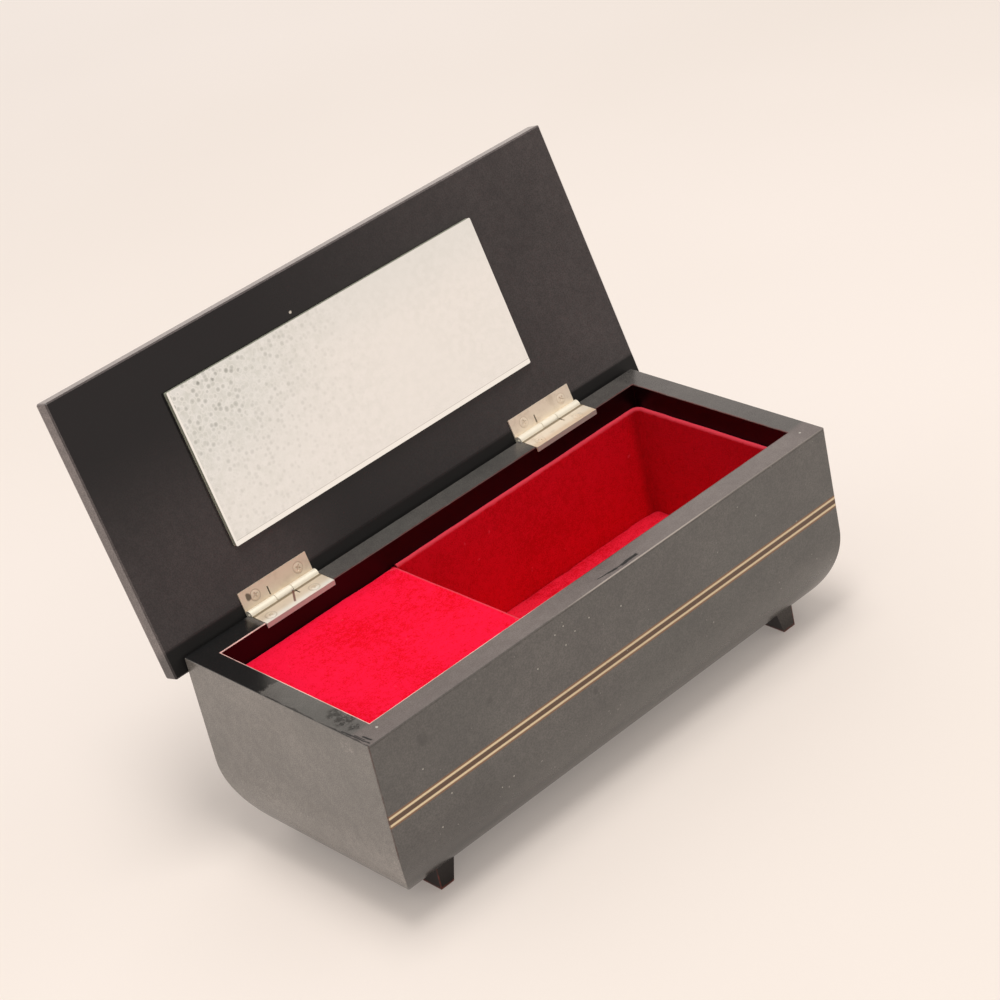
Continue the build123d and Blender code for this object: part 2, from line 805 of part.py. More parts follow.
with BuildPart() as cylinder_arbor:
    pinion_start = pinion_end - pinion_length
    with BuildSketch(Plane.YZ.offset(pinion_start)):
        with Locations((movement_y, cylinder_z)):
            Circle(cylinder_arbor_radius)
    extrude(amount=far_lug_x + far_lug_thickness / 2 - pinion_start)
    pinion_plane = Plane(origin=(pinion_start, movement_y, cylinder_z), x_dir=(0, 1, 0), z_dir=(1, 0, 0))
    extrude(
        toothed_disc(pinion_plane, pinion_teeth, pinion_radius, pinion_addendum, pinion_dedendum, -90),
        amount=pinion_length,
    )
save(cylinder_arbor.part, "cylinder_arbor")

wheel_plane = Plane(origin=(wheel_start, movement_y, cylinder_z), x_dir=(0, 1, 0), z_dir=(1, 0, 0))
axle_plane = Plane(origin=(wheel_start, axle_y, cylinder_z), x_dir=(0, 1, 0), z_dir=(1, 0, 0))

with BuildPart() as cylinder_wheel:
    extrude(
        toothed_disc(wheel_plane, wheel_teeth, wheel_radius, 0.8 * gear_module, gear_module, 0),
        amount=wheel_thickness,
    )
    with BuildSketch(wheel_plane):
        Circle(cylinder_arbor_radius)
    extrude(amount=wheel_thickness, mode=Mode.SUBTRACT)
save(cylinder_wheel.part, "cylinder_wheel")

# Comb: one steel plate, its teeth longer towards the low notes
with BuildPart() as comb:
    with BuildSketch(Plane.XY.offset(comb_bottom)):
        with Locations((comb_x, (comb_tip_y + comb_back_y) / 2)):
            Rectangle(comb_length, comb_tip_y - comb_back_y)
        for note in range(note_count - 1):
            slit_x = cylinder_start + comb_margin + (note + 1) * note_pitch
            length = comb_long_tooth + (comb_short_tooth - comb_long_tooth) * note / (note_count - 2)
            with Locations((slit_x, comb_tip_y - length / 2)):
                Rectangle(comb_slit, length, mode=Mode.SUBTRACT)
        with Locations(*comb_screw_spots):
            Circle(comb_screw_radius + running_gap, mode=Mode.SUBTRACT)
    extrude(amount=comb_thickness)
save(comb.part, "comb")

with BuildPart() as comb_screws:
    with BuildSketch(Plane.XY.offset(comb_bottom + comb_thickness)):
        with Locations(*comb_screw_spots):
            Circle(comb_screw_head)
    extrude(amount=comb_screw_head_height)
    with BuildSketch(Plane.XY.offset(board_top + bed_thickness / 2)):
        with Locations(*comb_screw_spots):
            Circle(comb_screw_radius)
    extrude(amount=comb_bottom + comb_thickness - board_top - bed_thickness / 2)
save(comb_screws.part, "comb_screws")

# Governor: a frame, an axle with pinion and worm wheel, and an upright worm with the fly
cheek_left = wheel_start - end_float - frame_plate
cheek_right = worm_wheel_x + worm_wheel_thickness / 2 + end_float
cheek_half = lug_cap
cheek_top = cylinder_z + cheek_half
frame_floor = bed_top + frame_base
fly_bottom = cheek_top + worm_radius + 2 * end_float
frame_arm_z = fly_bottom + fly_height + end_float
worm_bottom = frame_floor
worm_top = frame_arm_z + frame_plate
post_y = worm_y + fly_radius + end_float + frame_plate / 2

with BuildPart() as governor_frame:
    with BuildSketch(Plane.XY.offset(bed_top)):
        with Locations(((cheek_left + cheek_right + frame_plate) / 2, (axle_y + post_y) / 2)):
            Rectangle(cheek_right + frame_plate - cheek_left, post_y - axle_y + 2 * cheek_half)
        # Notch that lets the worm wheel down past the base
        with Locations((worm_wheel_x, axle_y)):
            Rectangle(
                worm_wheel_thickness + 2 * end_float,
                2 * (worm_wheel_radius + gear_module + end_float),
                mode=Mode.SUBTRACT,
            )
    extrude(amount=frame_base)
    for cheek_x in (cheek_left, cheek_right):
        with BuildSketch(Plane.YZ.offset(cheek_x)):
            with Locations((axle_y, (bed_top + cylinder_z) / 2)):
                Rectangle(2 * cheek_half, cylinder_z - bed_top)
            with Locations((axle_y, cylinder_z)):
                Circle(cheek_half)
                Circle(axle_radius + running_gap, mode=Mode.SUBTRACT)
        extrude(amount=frame_plate)
    with BuildSketch(Plane.XY.offset(bed_top)):
        with Locations((worm_wheel_x, post_y)):
            Rectangle(2 * cheek_half, frame_plate)
    extrude(amount=worm_top - bed_top)
    with BuildSketch(Plane.XY.offset(frame_arm_z)):
        with Locations((worm_wheel_x, (worm_y - cheek_half + post_y) / 2)):
            Rectangle(2 * cheek_half, post_y - worm_y + cheek_half)
        with Locations((worm_wheel_x, worm_y)):
            Circle(axle_radius + running_gap, mode=Mode.SUBTRACT)
    extrude(amount=frame_plate)
save(governor_frame.part, "governor_frame")

with BuildPart() as governor_axle:
    with BuildSketch(Plane.YZ.offset(cheek_left)):
        with Locations((axle_y, cylinder_z)):
            Circle(axle_radius)
    extrude(amount=cheek_right + frame_plate - cheek_left)
    axle_phase = 180 + 180 / axle_pinion_teeth
    extrude(
        toothed_disc(axle_plane, axle_pinion_teeth, axle_pinion_radius, 0.8 * gear_module, gear_module, axle_phase),
        amount=wheel_thickness,
    )
    worm_wheel_plane = axle_plane.offset(worm_wheel_x - worm_wheel_thickness / 2 - wheel_start)
    extrude(
        toothed_disc(worm_wheel_plane, worm_wheel_teeth, worm_wheel_radius, gear_module, gear_module, 0),
        amount=worm_wheel_thickness,
    )
save(governor_axle.part, "governor_axle")

worm_thread_bottom = cylinder_z - worm_pitch * worm_turns / 2

with BuildPart() as governor_worm:
    # Half the outline of the shaft with the turned thread on it, spun round its axis
    with BuildSketch(Plane.XZ.offset(-worm_y)):
        with BuildLine():
            outline = [(worm_wheel_x, worm_bottom), (worm_wheel_x + axle_radius, worm_bottom)]
            for turn in range(worm_turns):
                root_z = worm_thread_bottom + turn * worm_pitch
                outline.append((worm_wheel_x + axle_radius, root_z))
                outline.append((worm_wheel_x + worm_radius, root_z + worm_pitch / 2))
            outline.append((worm_wheel_x + axle_radius, worm_thread_bottom + worm_turns * worm_pitch))
            outline.append((worm_wheel_x + axle_radius, worm_top))
            outline.append((worm_wheel_x, worm_top))
            Polyline(*outline, close=True)
        make_face()
    revolve(axis=Axis((worm_wheel_x, worm_y, 0), (0, 0, 1)))
save(governor_worm.part, "governor_worm")

with BuildPart() as governor_fly:
    with BuildSketch(Plane.XY.offset(fly_bottom)):
        with Locations((worm_wheel_x, worm_y)):
            Circle(worm_radius)
            Rectangle(2 * fly_radius, fly_thickness)
            Circle(axle_radius, mode=Mode.SUBTRACT)
    extrude(amount=fly_height)
save(governor_fly.part, "governor_fly")

# Stop lever: a thin arm on a post, its tip beside the shaft between worm and fly
stop_z = cylinder_z + worm_pitch * worm_turns / 2 + seat_gap
stop_x = worm_wheel_x - stop_reach
stop_y = worm_y + axle_radius + stop_travel + stop_arm_width / 2

with BuildPart() as stop_post:
    with BuildSketch(Plane.XY.offset(bed_top)):
        with Locations((stop_x, stop_y)):
            Circle(2 * stop_post_radius)
    extrude(amount=stop_z - bed_top)
    with BuildSketch(Plane.XY.offset(stop_z)):
        with Locations((stop_x, stop_y)):
            Circle(stop_post_radius)
    extrude(amount=2 * stop_arm_thickness)
save(stop_post.part, "stop_post")

with BuildPart() as stop_lever:
    with BuildSketch(Plane.XY.offset(stop_z + seat_gap)):
        with Locations((stop_x + stop_reach / 2, stop_y)):
            Rectangle(stop_reach, stop_arm_width)
        with Locations((stop_x, stop_y)):
            Circle(stop_arm_width)
            Circle(stop_post_radius + running_gap, mode=Mode.SUBTRACT)
    extrude(amount=stop_arm_thickness)
save(stop_lever.part, "stop_lever")
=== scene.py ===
import json
import math

import bmesh
import bpy
from mathutils import Matrix, Vector, noise


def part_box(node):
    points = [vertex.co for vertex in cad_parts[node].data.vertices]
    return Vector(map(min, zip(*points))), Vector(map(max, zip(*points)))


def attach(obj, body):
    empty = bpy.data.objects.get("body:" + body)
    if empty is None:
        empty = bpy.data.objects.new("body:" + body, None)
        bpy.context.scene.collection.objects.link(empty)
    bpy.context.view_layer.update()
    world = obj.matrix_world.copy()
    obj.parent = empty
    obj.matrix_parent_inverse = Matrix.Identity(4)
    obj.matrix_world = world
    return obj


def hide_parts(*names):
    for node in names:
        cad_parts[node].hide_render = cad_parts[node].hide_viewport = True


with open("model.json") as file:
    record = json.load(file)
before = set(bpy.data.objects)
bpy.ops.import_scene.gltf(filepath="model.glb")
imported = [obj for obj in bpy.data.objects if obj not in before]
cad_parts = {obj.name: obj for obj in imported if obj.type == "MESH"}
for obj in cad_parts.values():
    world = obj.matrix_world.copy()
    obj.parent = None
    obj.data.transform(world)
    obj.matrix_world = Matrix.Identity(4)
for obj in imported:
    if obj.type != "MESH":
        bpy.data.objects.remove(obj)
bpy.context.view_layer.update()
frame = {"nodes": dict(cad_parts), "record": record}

nodes = frame["nodes"]
mm = 0.001

# Sizes of the case, in metres
case_half_x = 100.0 * mm
case_half_y = 44.15 * mm
rim_z = 70.0 * mm
curve_z = 30.9 * mm
underside_z = 7.0 * mm
board_top = 15.0 * mm
side_inset = 11.37 * mm
end_inset = 7.8 * mm
inner_x = 91.9 * mm
inner_y = 35.45 * mm

# Holes in the underside; the screws' seats are in millimetres
screw_seats = ((-85.0, -22.0), (-35.5, -22.0), (-85.0, 23.0))
screw_seat_radius = 2.7 * mm
key_x = -75 * mm
key_y = 2 * mm
key_hole_radius = 7.5 * mm

# Hinge line and the open lid's slope
hinge_y = 44.22 * mm
hinge_z = 69.7 * mm
hinge_centres = (-59.5 * mm, 59.5 * mm)
lid_open = math.radians(106.7)
lid_up = Vector((0, -math.cos(lid_open), math.sin(lid_open)))
lid_in = Vector((0, -math.sin(lid_open), -math.cos(lid_open)))
lid_across = Vector((1, 0, 0))
hinge_point = Vector((0, hinge_y, hinge_z))
lid_face_depth = 1.6 * mm
leaf_thickness = 0.5 * mm
seat_half = 14.3 * mm

# Lining levels
cover_top = 61.7 * mm
cover_bottom = 58.5 * mm
pad_top = 21.5 * mm
liner_top = 62.2 * mm
divider_x = -22.0 * mm
lining_gap = 0.2 * mm
liner_thickness = 1.5 * mm
liner_corner = 2.0 * mm
cover_corner = 5.5 * mm

# Mirror's place on the lid, measured from the hinge line
mirror_left = -67.2 * mm
mirror_low = 21.2 * mm


# Small tools for materials, which add nodes to the tree that was opened last

tree = None


def open_tree(owner):
    """Opens a material's or world's node tree for the tools below."""
    global tree
    owner.use_nodes = True
    tree = owner.node_tree


def new_node(kind):
    """A new node in the open tree."""
    return tree.nodes.new("ShaderNode" + kind)


def srgb(red, green, blue):
    """A colour from its 0 to 255 screen values."""
    levels = []
    for level in (red, green, blue):
        share = level / 255
        levels.append(share / 12.92 if share <= 0.04045 else ((share + 0.055) / 1.055) ** 2.4)
    return (levels[0], levels[1], levels[2], 1.0)


def new_material(name):
    """An empty procedural material, its tree open, and its shader."""
    material = bpy.data.materials.new(name)
    open_tree(material)
    return material, tree.nodes["Principled BSDF"]


def put(socket, value):
    """Links an output to a socket, or sets its value."""
    if isinstance(value, bpy.types.NodeSocket):
        tree.links.new(value, socket)
    else:
        socket.default_value = value


def calc(operation, first, second=0.0, third=0.0):
    """A maths node's result."""
    node = new_node("Math")
    node.operation = operation
    for socket, value in zip(node.inputs, (first, second, third)):
        put(socket, value)
    return node.outputs[0]


def ramp(value, low, high, start=0.0, end=1.0):
    """A smooth step of value from low to high."""
    node = new_node("MapRange")
    node.interpolation_type = "SMOOTHSTEP"
    for name, given in (
        ("Value", value),
        ("From Min", low),
        ("From Max", high),
        ("To Min", start),
        ("To Max", end),
    ):
        put(node.inputs[name], given)
    return node.outputs[0]


def fade(value, low, high):
    """1 up to low, 0 from high on."""
    return ramp(value, low, high, 1.0, 0.0)


def scaled(value, factor, start=0.0):
    """A value times a factor, plus a start."""
    return calc("MULTIPLY_ADD", value, factor, start)


def size_of(value):
    """A value without its sign."""
    return calc("ABSOLUTE", value)


def unless(share):
    """What a share leaves of the whole."""
    return calc("SUBTRACT", 1.0, share)


def hypotenuse(first, second):
    """The length of a step with two parts at right angles."""
    return calc("SQRT", scaled(first, first, calc("MULTIPLY", second, second)))


def blend(share, first, second):
    """Two colours mixed by a share."""
    node = new_node("Mix")
    node.data_type = "RGBA"
    put(node.inputs[0], share)
    put(node.inputs[6], first)
    put(node.inputs[7], second)
    return node.outputs[2]


def parts(vector):
    """The three parts of a vector."""
    node = new_node("SeparateXYZ")
    put(node.inputs[0], vector)
    return node.outputs


def coordinates():
    """The place on the piece, which keeps to the piece when it moves."""
    return new_node("TexCoord").outputs["Object"]


def place():
    """The place on the piece and its three parts."""
    where = coordinates()
    return where, *parts(where)


def facing():
    """The way the surface faces, which keeps to the piece too."""
    return new_node("TexCoord").outputs["Normal"]


def grain(where, scale, detail=3.0, roughness=0.5, stretch=(1, 1, 1)):
    """Noise over the object coordinates, with an optional stretch."""
    mapping = new_node("Mapping")
    put(mapping.inputs["Vector"], where)
    mapping.inputs["Scale"].default_value = stretch
    node = new_node("TexNoise")
    put(node.inputs["Vector"], mapping.outputs[0])
    node.inputs["Scale"].default_value = scale
    node.inputs["Detail"].default_value = detail
    node.inputs["Roughness"].default_value = roughness
    return node.outputs["Fac"]


def bump(shader, height, distance, strength=1.0):
    """Relief of the surface from a height."""
    node = new_node("Bump")
    put(node.inputs["Height"], height)
    node.inputs["Distance"].default_value = distance
    node.inputs["Strength"].default_value = strength
    put(shader.inputs["Normal"], node.outputs[0])


def away(where, centre):
    """Distance from a point."""
    node = new_node("VectorMath")
    node.operation = "DISTANCE"
    put(node.inputs[0], where)
    node.inputs[1].default_value = centre
    return node.outputs["Value"]


def level(where, direction, start=0.0):
    """Distance along a direction, less a start."""
    node = new_node("VectorMath")
    node.operation = "DOT_PRODUCT"
    put(node.inputs[0], where)
    node.inputs[1].default_value = direction
    return calc("SUBTRACT", node.outputs["Value"], start)


def lid_rise(where):
    """Distance up the open lid from the hinge line."""
    return level(where, lid_up, hinge_point.dot(lid_up))


def dress(shader, colour, roughness, specular=0.5, metallic=0.0):
    """Fills the main sockets of a shader."""
    put(shader.inputs["Base Color"], colour)
    put(shader.inputs["Roughness"], roughness)
    put(shader.inputs["Specular IOR Level"], specular)
    put(shader.inputs["Metallic"], metallic)


def both(*shares):
    """The product of several shares."""
    result = shares[0]
    for share in shares[1:]:
        result = calc("MULTIPLY", result, share)
    return result


def spot(where, centre, radius, ragged):
    """1 inside a ragged spot round a point, 0 outside; centre and radius in millimetres."""
    distance = away(where, [c * mm for c in centre])
    wobble = grain(where, 0.8 / (radius * mm), 2.0)
    reach = scaled(wobble, ragged * radius * mm, distance)
    outer = radius * mm * (1 + ragged / 2)
    return fade(reach, outer * 0.7, outer)


def dots(where, centres, radius):
    """1 inside any of several small round dots; centres and radius in millimetres."""
    nearest = None
    for centre in centres:
        distance = away(where, [c * mm for c in centre])
        nearest = distance if nearest is None else calc("MINIMUM", nearest, distance)
    return fade(nearest, 0.6 * radius * mm, radius * mm)


def scratch(first, second, start, end, half):
    """1 on a straight scratch between two points of a plane; sizes in millimetres."""
    run = math.hypot(end[0] - start[0], end[1] - start[1])
    step_a = (end[0] - start[0]) / run
    step_b = (end[1] - start[1]) / run
    from_a = calc("SUBTRACT", first, start[0] * mm)
    from_b = calc("SUBTRACT", second, start[1] * mm)
    along = scaled(from_b, step_b, calc("MULTIPLY", from_a, step_a))
    aside = scaled(from_b, step_a, calc("MULTIPLY", from_a, -step_b))
    width = size_of(aside)
    thin = fade(width, 0.4 * half * mm, half * mm)
    return both(thin, band(along, 0.0, run * mm, 0.4 * mm))


def band(value, low, high, soft):
    """1 between two levels, 0 outside, with soft ends."""
    above = ramp(value, low - soft, low + soft)
    below = fade(value, high - soft, high + soft)
    return calc("MULTIPLY", above, below)


def either(*shares):
    """The largest of several shares."""
    result = shares[0]
    for share in shares[1:]:
        result = calc("MAXIMUM", result, share)
    return result


# Lacquer


black = srgb(30, 30, 31)
lid_black = srgb(20, 17, 19)
# Pale tones for dust and for painted light on the lacquer
dust_and_light_pale = srgb(148, 142, 136)
lid_dust_and_light_pale = srgb(152, 140, 138)
dark_mark = srgb(18, 17, 16)
gold = srgb(240, 216, 174)
stripe_brown = srgb(80, 44, 0)
fringe_brown = srgb(134, 84, 36)
corner_brown = srgb(70, 42, 34)
seam_brown = srgb(46, 38, 35)
edge_highlight_pale = srgb(192, 180, 170)
lip_pale = srgb(250, 202, 192)
lip_dark = srgb(86, 38, 34)
streak_grey = srgb(112, 104, 96)
worn_tone = srgb(76, 80, 76)
velvet_reflection_rose = srgb(112, 84, 84)
rear_shade_black = srgb(7, 9, 11)
jet = srgb(6, 6, 6)
end_pale = srgb(218, 208, 200)
speck_pale = srgb(196, 192, 182)
inside_red = srgb(16, 2, 3)
inside_brown = srgb(34, 3, 5)
inside_shade = srgb(10, 1, 2)
lid_speck = srgb(215, 205, 192)
foot_black = srgb(22, 14, 13)
foot_end = srgb(22, 5, 5)
foot_worn = srgb(128, 62, 52)
stripe_upper = 43.4 * mm
stripe_lower = 40.9 * mm
stripe_half = 0.4 * mm
stripe_fringe = 1.0 * mm

# The front's place for spots and specks, in millimetres
front_y = -44.1


def lacquer_base(where, dust_and_light, gloss_level, depth=black, pale_tone=dust_and_light_pale):
    """Satin lacquer under a pale veil, part dust and part painted light: its colour, roughness and fine
    grain.
    """
    cloud = grain(where, 38.0, 4.0, 0.6)
    middle = grain(where, 330.0, 3.0, 0.6)
    fine = grain(where, 2300.0, 2.0, 0.6)
    uneven = scaled(cloud, 0.9, 0.55)
    uneven = both(uneven, ramp(middle, 0.3, 0.7, 0.88, 1.12))
    pale_share = both(uneven, dust_and_light, ramp(fine, 0.35, 0.65, 0.74, 1.26))
    colour = blend(pale_share, depth, pale_tone)
    gloss = scaled(cloud, 0.1, gloss_level)
    return colour, gloss, fine


def rim_smudges_and_shade(where, x, y):
    """Where the left part of the rim is dark: its rear end by the lid, which is painted shade and
    painted reflection of the lid, a corner patch and the outer edge.
    """
    torn = scaled(grain(where, 300.0, 4.0, 0.7), 9.0 * mm, y)
    rear = ramp(torn, 10.5 * mm, 12.0 * mm)
    left = fade(x, -76.5 * mm, -74.5 * mm)
    rear_rim_shade = both(rear, left)
    patchy = ramp(grain(where, 520.0, 4.0, 0.75), 0.38, 0.56)
    blots = either(
        spot(where, (-94.0, -22.5, 70), 3.4, 0.9),
        spot(where, (-94.6, -27.5, 70), 4.2, 0.9),
        spot(where, (-95.8, -33.0, 70), 2.4, 0.9),
    )
    patch = both(blots, patchy)
    wobble = grain(where, 160.0, 3.0, 0.6)
    outer_wobble = scaled(wobble, 2.0 * mm, x)
    outer = band(outer_wobble, -100.5 * mm, -98.5 * mm, 0.2 * mm)
    return rear_rim_shade, either(rear_rim_shade, patch, outer)


def rim_strokes(where, x, y):
    """A long bruised scratch on the front rim and three short ones at its left corner."""
    wobble = scaled(grain(where, 300.0, 2.0, 0.5), 0.9 * mm, y)
    wobble = calc("SUBTRACT", wobble, 0.45 * mm)
    aside = scaled(grain(where, 300.0, 2.0, 0.5), 1.0 * mm, x)
    aside = calc("SUBTRACT", aside, 0.5 * mm)
    return either(
        scratch(x, wobble, (-3.0, -41.4), (8.0, -42.4), 0.36),
        scratch(x, wobble, (1.0, -41.9), (5.0, -42.2), 0.75),
        scratch(x, wobble, (6.5, -42.3), (14.0, -42.2), 0.95),
        scratch(aside, y, (-97.5, -38.6), (-97.2, -42.6), 0.5),
        scratch(aside, y, (-99.3, -31.0), (-98.7, -43.4), 0.35),
        scratch(aside, y, (-98.6, -36.0), (-98.2, -41.0), 0.25),
    )


def stripe_paint(where, x, y, z, colour):
    """Two thin gold lines with brown between and beside them, on the front."""
    front = fade(y, -43.95 * mm, -43.75 * mm)
    fringe = band(z, stripe_lower - stripe_fringe, stripe_upper + stripe_fringe, 0.2 * mm)
    brown = band(z, stripe_lower, stripe_upper, 0.14 * mm)
    lines = either(
        band(z, stripe_upper - stripe_half, stripe_upper + stripe_half, 0.14 * mm),
        band(z, stripe_lower - stripe_half, stripe_lower + stripe_half, 0.14 * mm),
    )
    rubbed = ramp(grain(where, 500.0, 3.0, 0.7), 0.2, 0.4, 0.55, 1.0)
    faded = ramp(x, -70 * mm, 0.0, 1.0, 0.86)
    colour = blend(both(fringe, front, 0.8), colour, fringe_brown)
    colour = blend(both(brown, front, 0.95), colour, stripe_brown)
    return blend(both(lines, front, rubbed, faded), colour, gold)


def edge_wear_and_highlight(where, x, y, z, colour):
    """Brown upright corners, a line under the front edge, a painted highlight along the front edge and
    a pale inner lip.
    """
    wide = size_of(x)
    deep = size_of(y)
    by_end = ramp(wide, case_half_x - 0.5 * mm, case_half_x - 0.15 * mm)
    by_side = ramp(deep, case_half_y - 0.5 * mm, case_half_y - 0.15 * mm)
    patchy = ramp(grain(where, 260.0, 4.0, 0.7), 0.38, 0.6, 0.25, 1.0)
    colour = blend(both(by_end, by_side, patchy), colour, corner_brown)
    front = fade(y, -43.9 * mm, -43.6 * mm)
    seam = both(band(z, 69.1 * mm, 69.5 * mm, 0.12 * mm), front)
    colour = blend(both(seam, patchy, 0.75), colour, seam_brown)
    # Painted highlight where the rounded front edge would catch the light.
    front_edge_highlight = both(
        ramp(y, -43.75 * mm, -43.95 * mm),
        ramp(z, 69.6 * mm, 69.75 * mm),
        ramp(x, -30 * mm, 0.0),
        ramp(x, 30 * mm, 60 * mm, 1.0, 0.3),
    )
    colour = blend(both(front_edge_highlight, 0.75), colour, edge_highlight_pale)
    # The inner lip is pale on the left and darker red-brown on the right and at the rear, broken up by
    # noise.
    near_rim = ramp(z, rim_z - 0.5 * mm, rim_z - 0.2 * mm)
    lip_x = ramp(wide, inner_x + 0.55 * mm, inner_x + 0.3 * mm)
    lip_y = ramp(deep, inner_y + 0.55 * mm, inner_y + 0.3 * mm)
    lip_patchy = ramp(grain(where, 180.0, 3.0), 0.3, 0.6, 0.4, 1.0)
    lip = both(lip_x, lip_y, near_rim, lip_patchy)
    rear_lip = both(ramp(y, 0.0, 10 * mm), ramp(x, -72 * mm, -58 * mm))
    dull = either(ramp(x, -40 * mm, 0.0), rear_lip)
    lip_tone = blend(dull, lip_pale, lip_dark)
    return blend(lip, colour, lip_tone)


def front_specks(where):
    """Pale specks on the front: a cluster above the stripes and some strays."""
    cluster = [(-34.7, 57.1), (-25.6, 64.0), (-22.3, 58.4), (-21.8, 65.0), (-17.8, 60.8), (-11.4, 61.9)]
    strays = [(-83.8, 51.5), (-82.1, 28.9), (-76.0, 37.6), (-57.6, 27.5), (-52.5, 28.5), (1.8, 58.4)]
    return dots(where, [(x, front_y, z) for x, z in cluster + strays], 0.32)


def case_lacquer():
    """Lacquer of the case, with stripes, smudges, scratches, specks and worn edges, and painted light
    and shade: paler end faces, a paler and rosier front rim, a painted highlight along the front edge,
    a darker low left front and a dark rear rim by the lid.
    """
    material, shader = new_material("case_lacquer")
    across, _, upward = parts(facing())
    end_face = ramp(size_of(across), 0.6, 0.9)
    top_face = ramp(upward, 0.5, 0.9)
    where, x, y, z = place()
    front_rim = both(top_face, ramp(y, -34 * mm, -37 * mm))
    # Painted light: the end faces are painted much paler for the lamp's sheen on them.
    dust_and_light = scaled(end_face, 0.37, 0.26)
    # Painted shade: the front is darker low on its left, where the curved wall turns down.
    low_left = both(
        ramp(z, 36 * mm, 20 * mm),
        ramp(x, -10 * mm, -70 * mm),
        unless(end_face),
    )
    dust_and_light = scaled(low_left, -0.1, dust_and_light)
    # Painted reflection: the front rim is painted paler for the room it mirrors.
    dust_and_light = scaled(front_rim, 0.18, dust_and_light)
    end_rim = both(top_face, ramp(x, 90 * mm, 93 * mm))
    dust_and_light = scaled(end_rim, -0.08, dust_and_light)
    colour, gloss, fine = lacquer_base(where, dust_and_light, 0.2)

    streaks = grain(where, 260.0, 3.0, 0.6, (1.0, 0.22, 1.0))
    streaked = both(ramp(streaks, 0.45, 0.8), end_face)
    colour = blend(both(streaked, 0.22), colour, streak_grey)
    worn_grey = ramp(grain(where, 14.0, 2.0, 0.5), 0.35, 0.65, 0.0, 0.25)
    colour = blend(worn_grey, colour, worn_tone)
    # Painted reflection of the red velvet on the front rim.
    colour = blend(both(front_rim, 0.22), colour, velvet_reflection_rose)

    rear_rim_shade, smudges_and_shade = rim_smudges_and_shade(where, x, y)
    smudges_and_shade = both(smudges_and_shade, top_face)
    # The rear rim's tone is painted shade and reflection of the standing lid; the rest are dark marks.
    mark_and_shade_tone = blend(rear_rim_shade, dark_mark, rear_shade_black)
    colour = blend(both(smudges_and_shade, 0.94), colour, mark_and_shade_tone)
    colour = stripe_paint(where, x, y, z, colour)
    colour = edge_wear_and_highlight(where, x, y, z, colour)
    strokes = both(rim_strokes(where, x, y), top_face)
    colour = blend(strokes, colour, jet)
    # Paler on the end faces' low front part, and pale scuffs near the left end's top front corner.
    scuffs_and_pale_low_front = both(
        either(
            both(ramp(y, -36 * mm, -41 * mm), ramp(z, 46 * mm, 20 * mm, 0.0, 0.6)),
            spot(where, (-100.05, -33.0, 66.0), 3.4, 1.2),
        ),
        ramp(grain(where, 700.0, 4.0, 0.7), 0.45, 0.62),
        end_face,
    )
    colour = blend(both(scuffs_and_pale_low_front, 0.24), colour, end_pale)

    front_smudges = either(
        spot(where, (-81.4, front_y, 61.0), 2.4, 1.2),
        spot(where, (-54.6, front_y, 58.1), 1.3, 1.2),
        spot(where, (-14.8, front_y, 37.0), 1.8, 1.2),
    )
    colour = blend(both(front_smudges, 0.3), colour, dark_mark)
    specks = front_specks(where)
    bright_specks = either(
        spot(where, (-92.1, -38.9, 70), 0.6, 1.0),
        spot(where, (93.7, -39.2, 70), 0.5, 1.0),
    )
    tiny = ramp(grain(where, 700.0, 1.0, 0.4), 0.76, 0.80, 0.0, 0.4)
    tiny = both(tiny, unless(top_face))
    specks = either(specks, bright_specks, tiny)
    colour = blend(both(specks, 0.85), colour, speck_pale)

    gloss = scaled(smudges_and_shade, -0.08, gloss)
    dress(shader, colour, scaled(strokes, 0.7, gloss), 0.85)
    relief = scaled(strokes, -3.0, calc("ADD", streaked, fine))
    bump(shader, relief, 0.015 * mm, 0.5)
    return material


def inside_lacquer():
    """Lacquer inside the case above the velvet: deep brown-red and only half glossy."""
    material, shader = new_material("inside_lacquer")
    where, x, y, z = place()
    cloud = grain(where, 60.0, 3.0, 0.5)
    tone = blend(cloud, inside_red, inside_brown)
    # Painted shade: darker towards the right end of the compartment.
    tone = blend(ramp(x, -40 * mm, 85 * mm, 0.0, 0.8), tone, inside_shade)
    dress(shader, tone, 0.35, 0.22)
    bump(shader, grain(where, 700.0), 0.03 * mm, 0.4)
    return material


def lid_lacquer():
    """Lacquer of the lid, cleaner and deeper than the case's, with its edge faces painted paler for the
    light they catch, and paler towards its far end.
    """
    material, shader = new_material("lid_lacquer")
    inward = level(facing(), lid_in)
    sideways = ramp(size_of(inward), 0.5, 0.9, 0.58, 0.0)
    inner_face = ramp(inward, 0.5, 0.9)
    outer_face = ramp(inward, -0.5, -0.9)
    where, x, y, z = place()
    rise = lid_rise(where)
    # Painted light: the lid's edge faces are painted paler, as the case's end faces are.
    edges = both(sideways, ramp(rise, 1 * mm, 5 * mm, 0.4, 1.0))
    far_end = ramp(x, -40 * mm, 105 * mm, 0.0, 0.15)
    low_left = both(
        ramp(rise, 70 * mm, 25 * mm, 0.0, 0.11),
        fade(x, -60 * mm, -20 * mm),
    )
    dust_and_light = both(inner_face, calc("ADD", far_end, low_left))
    dust_and_light = calc("ADD", scaled(outer_face, 0.09, edges), dust_and_light)
    colour, gloss, fine = lacquer_base(where, dust_and_light, 0.07, lid_black, lid_dust_and_light_pale)
    speck = spot(where, (-14.2, 67.9, 142.9), 0.6, 0.8)
    colour = blend(speck, colour, lid_speck)
    # Painted shade and dark reflection: a black, duller band along the foot of the inner face, just
    # above the rim.
    lid_foot_shade = both(fade(rise, 3.4 * mm, 4.8 * mm), inner_face)
    colour = blend(lid_foot_shade, colour, jet)
    gloss = scaled(lid_foot_shade, 0.5, gloss)
    dress(shader, colour, gloss, 0.33)
    bump(shader, fine, 0.02 * mm, 0.3)
    return material


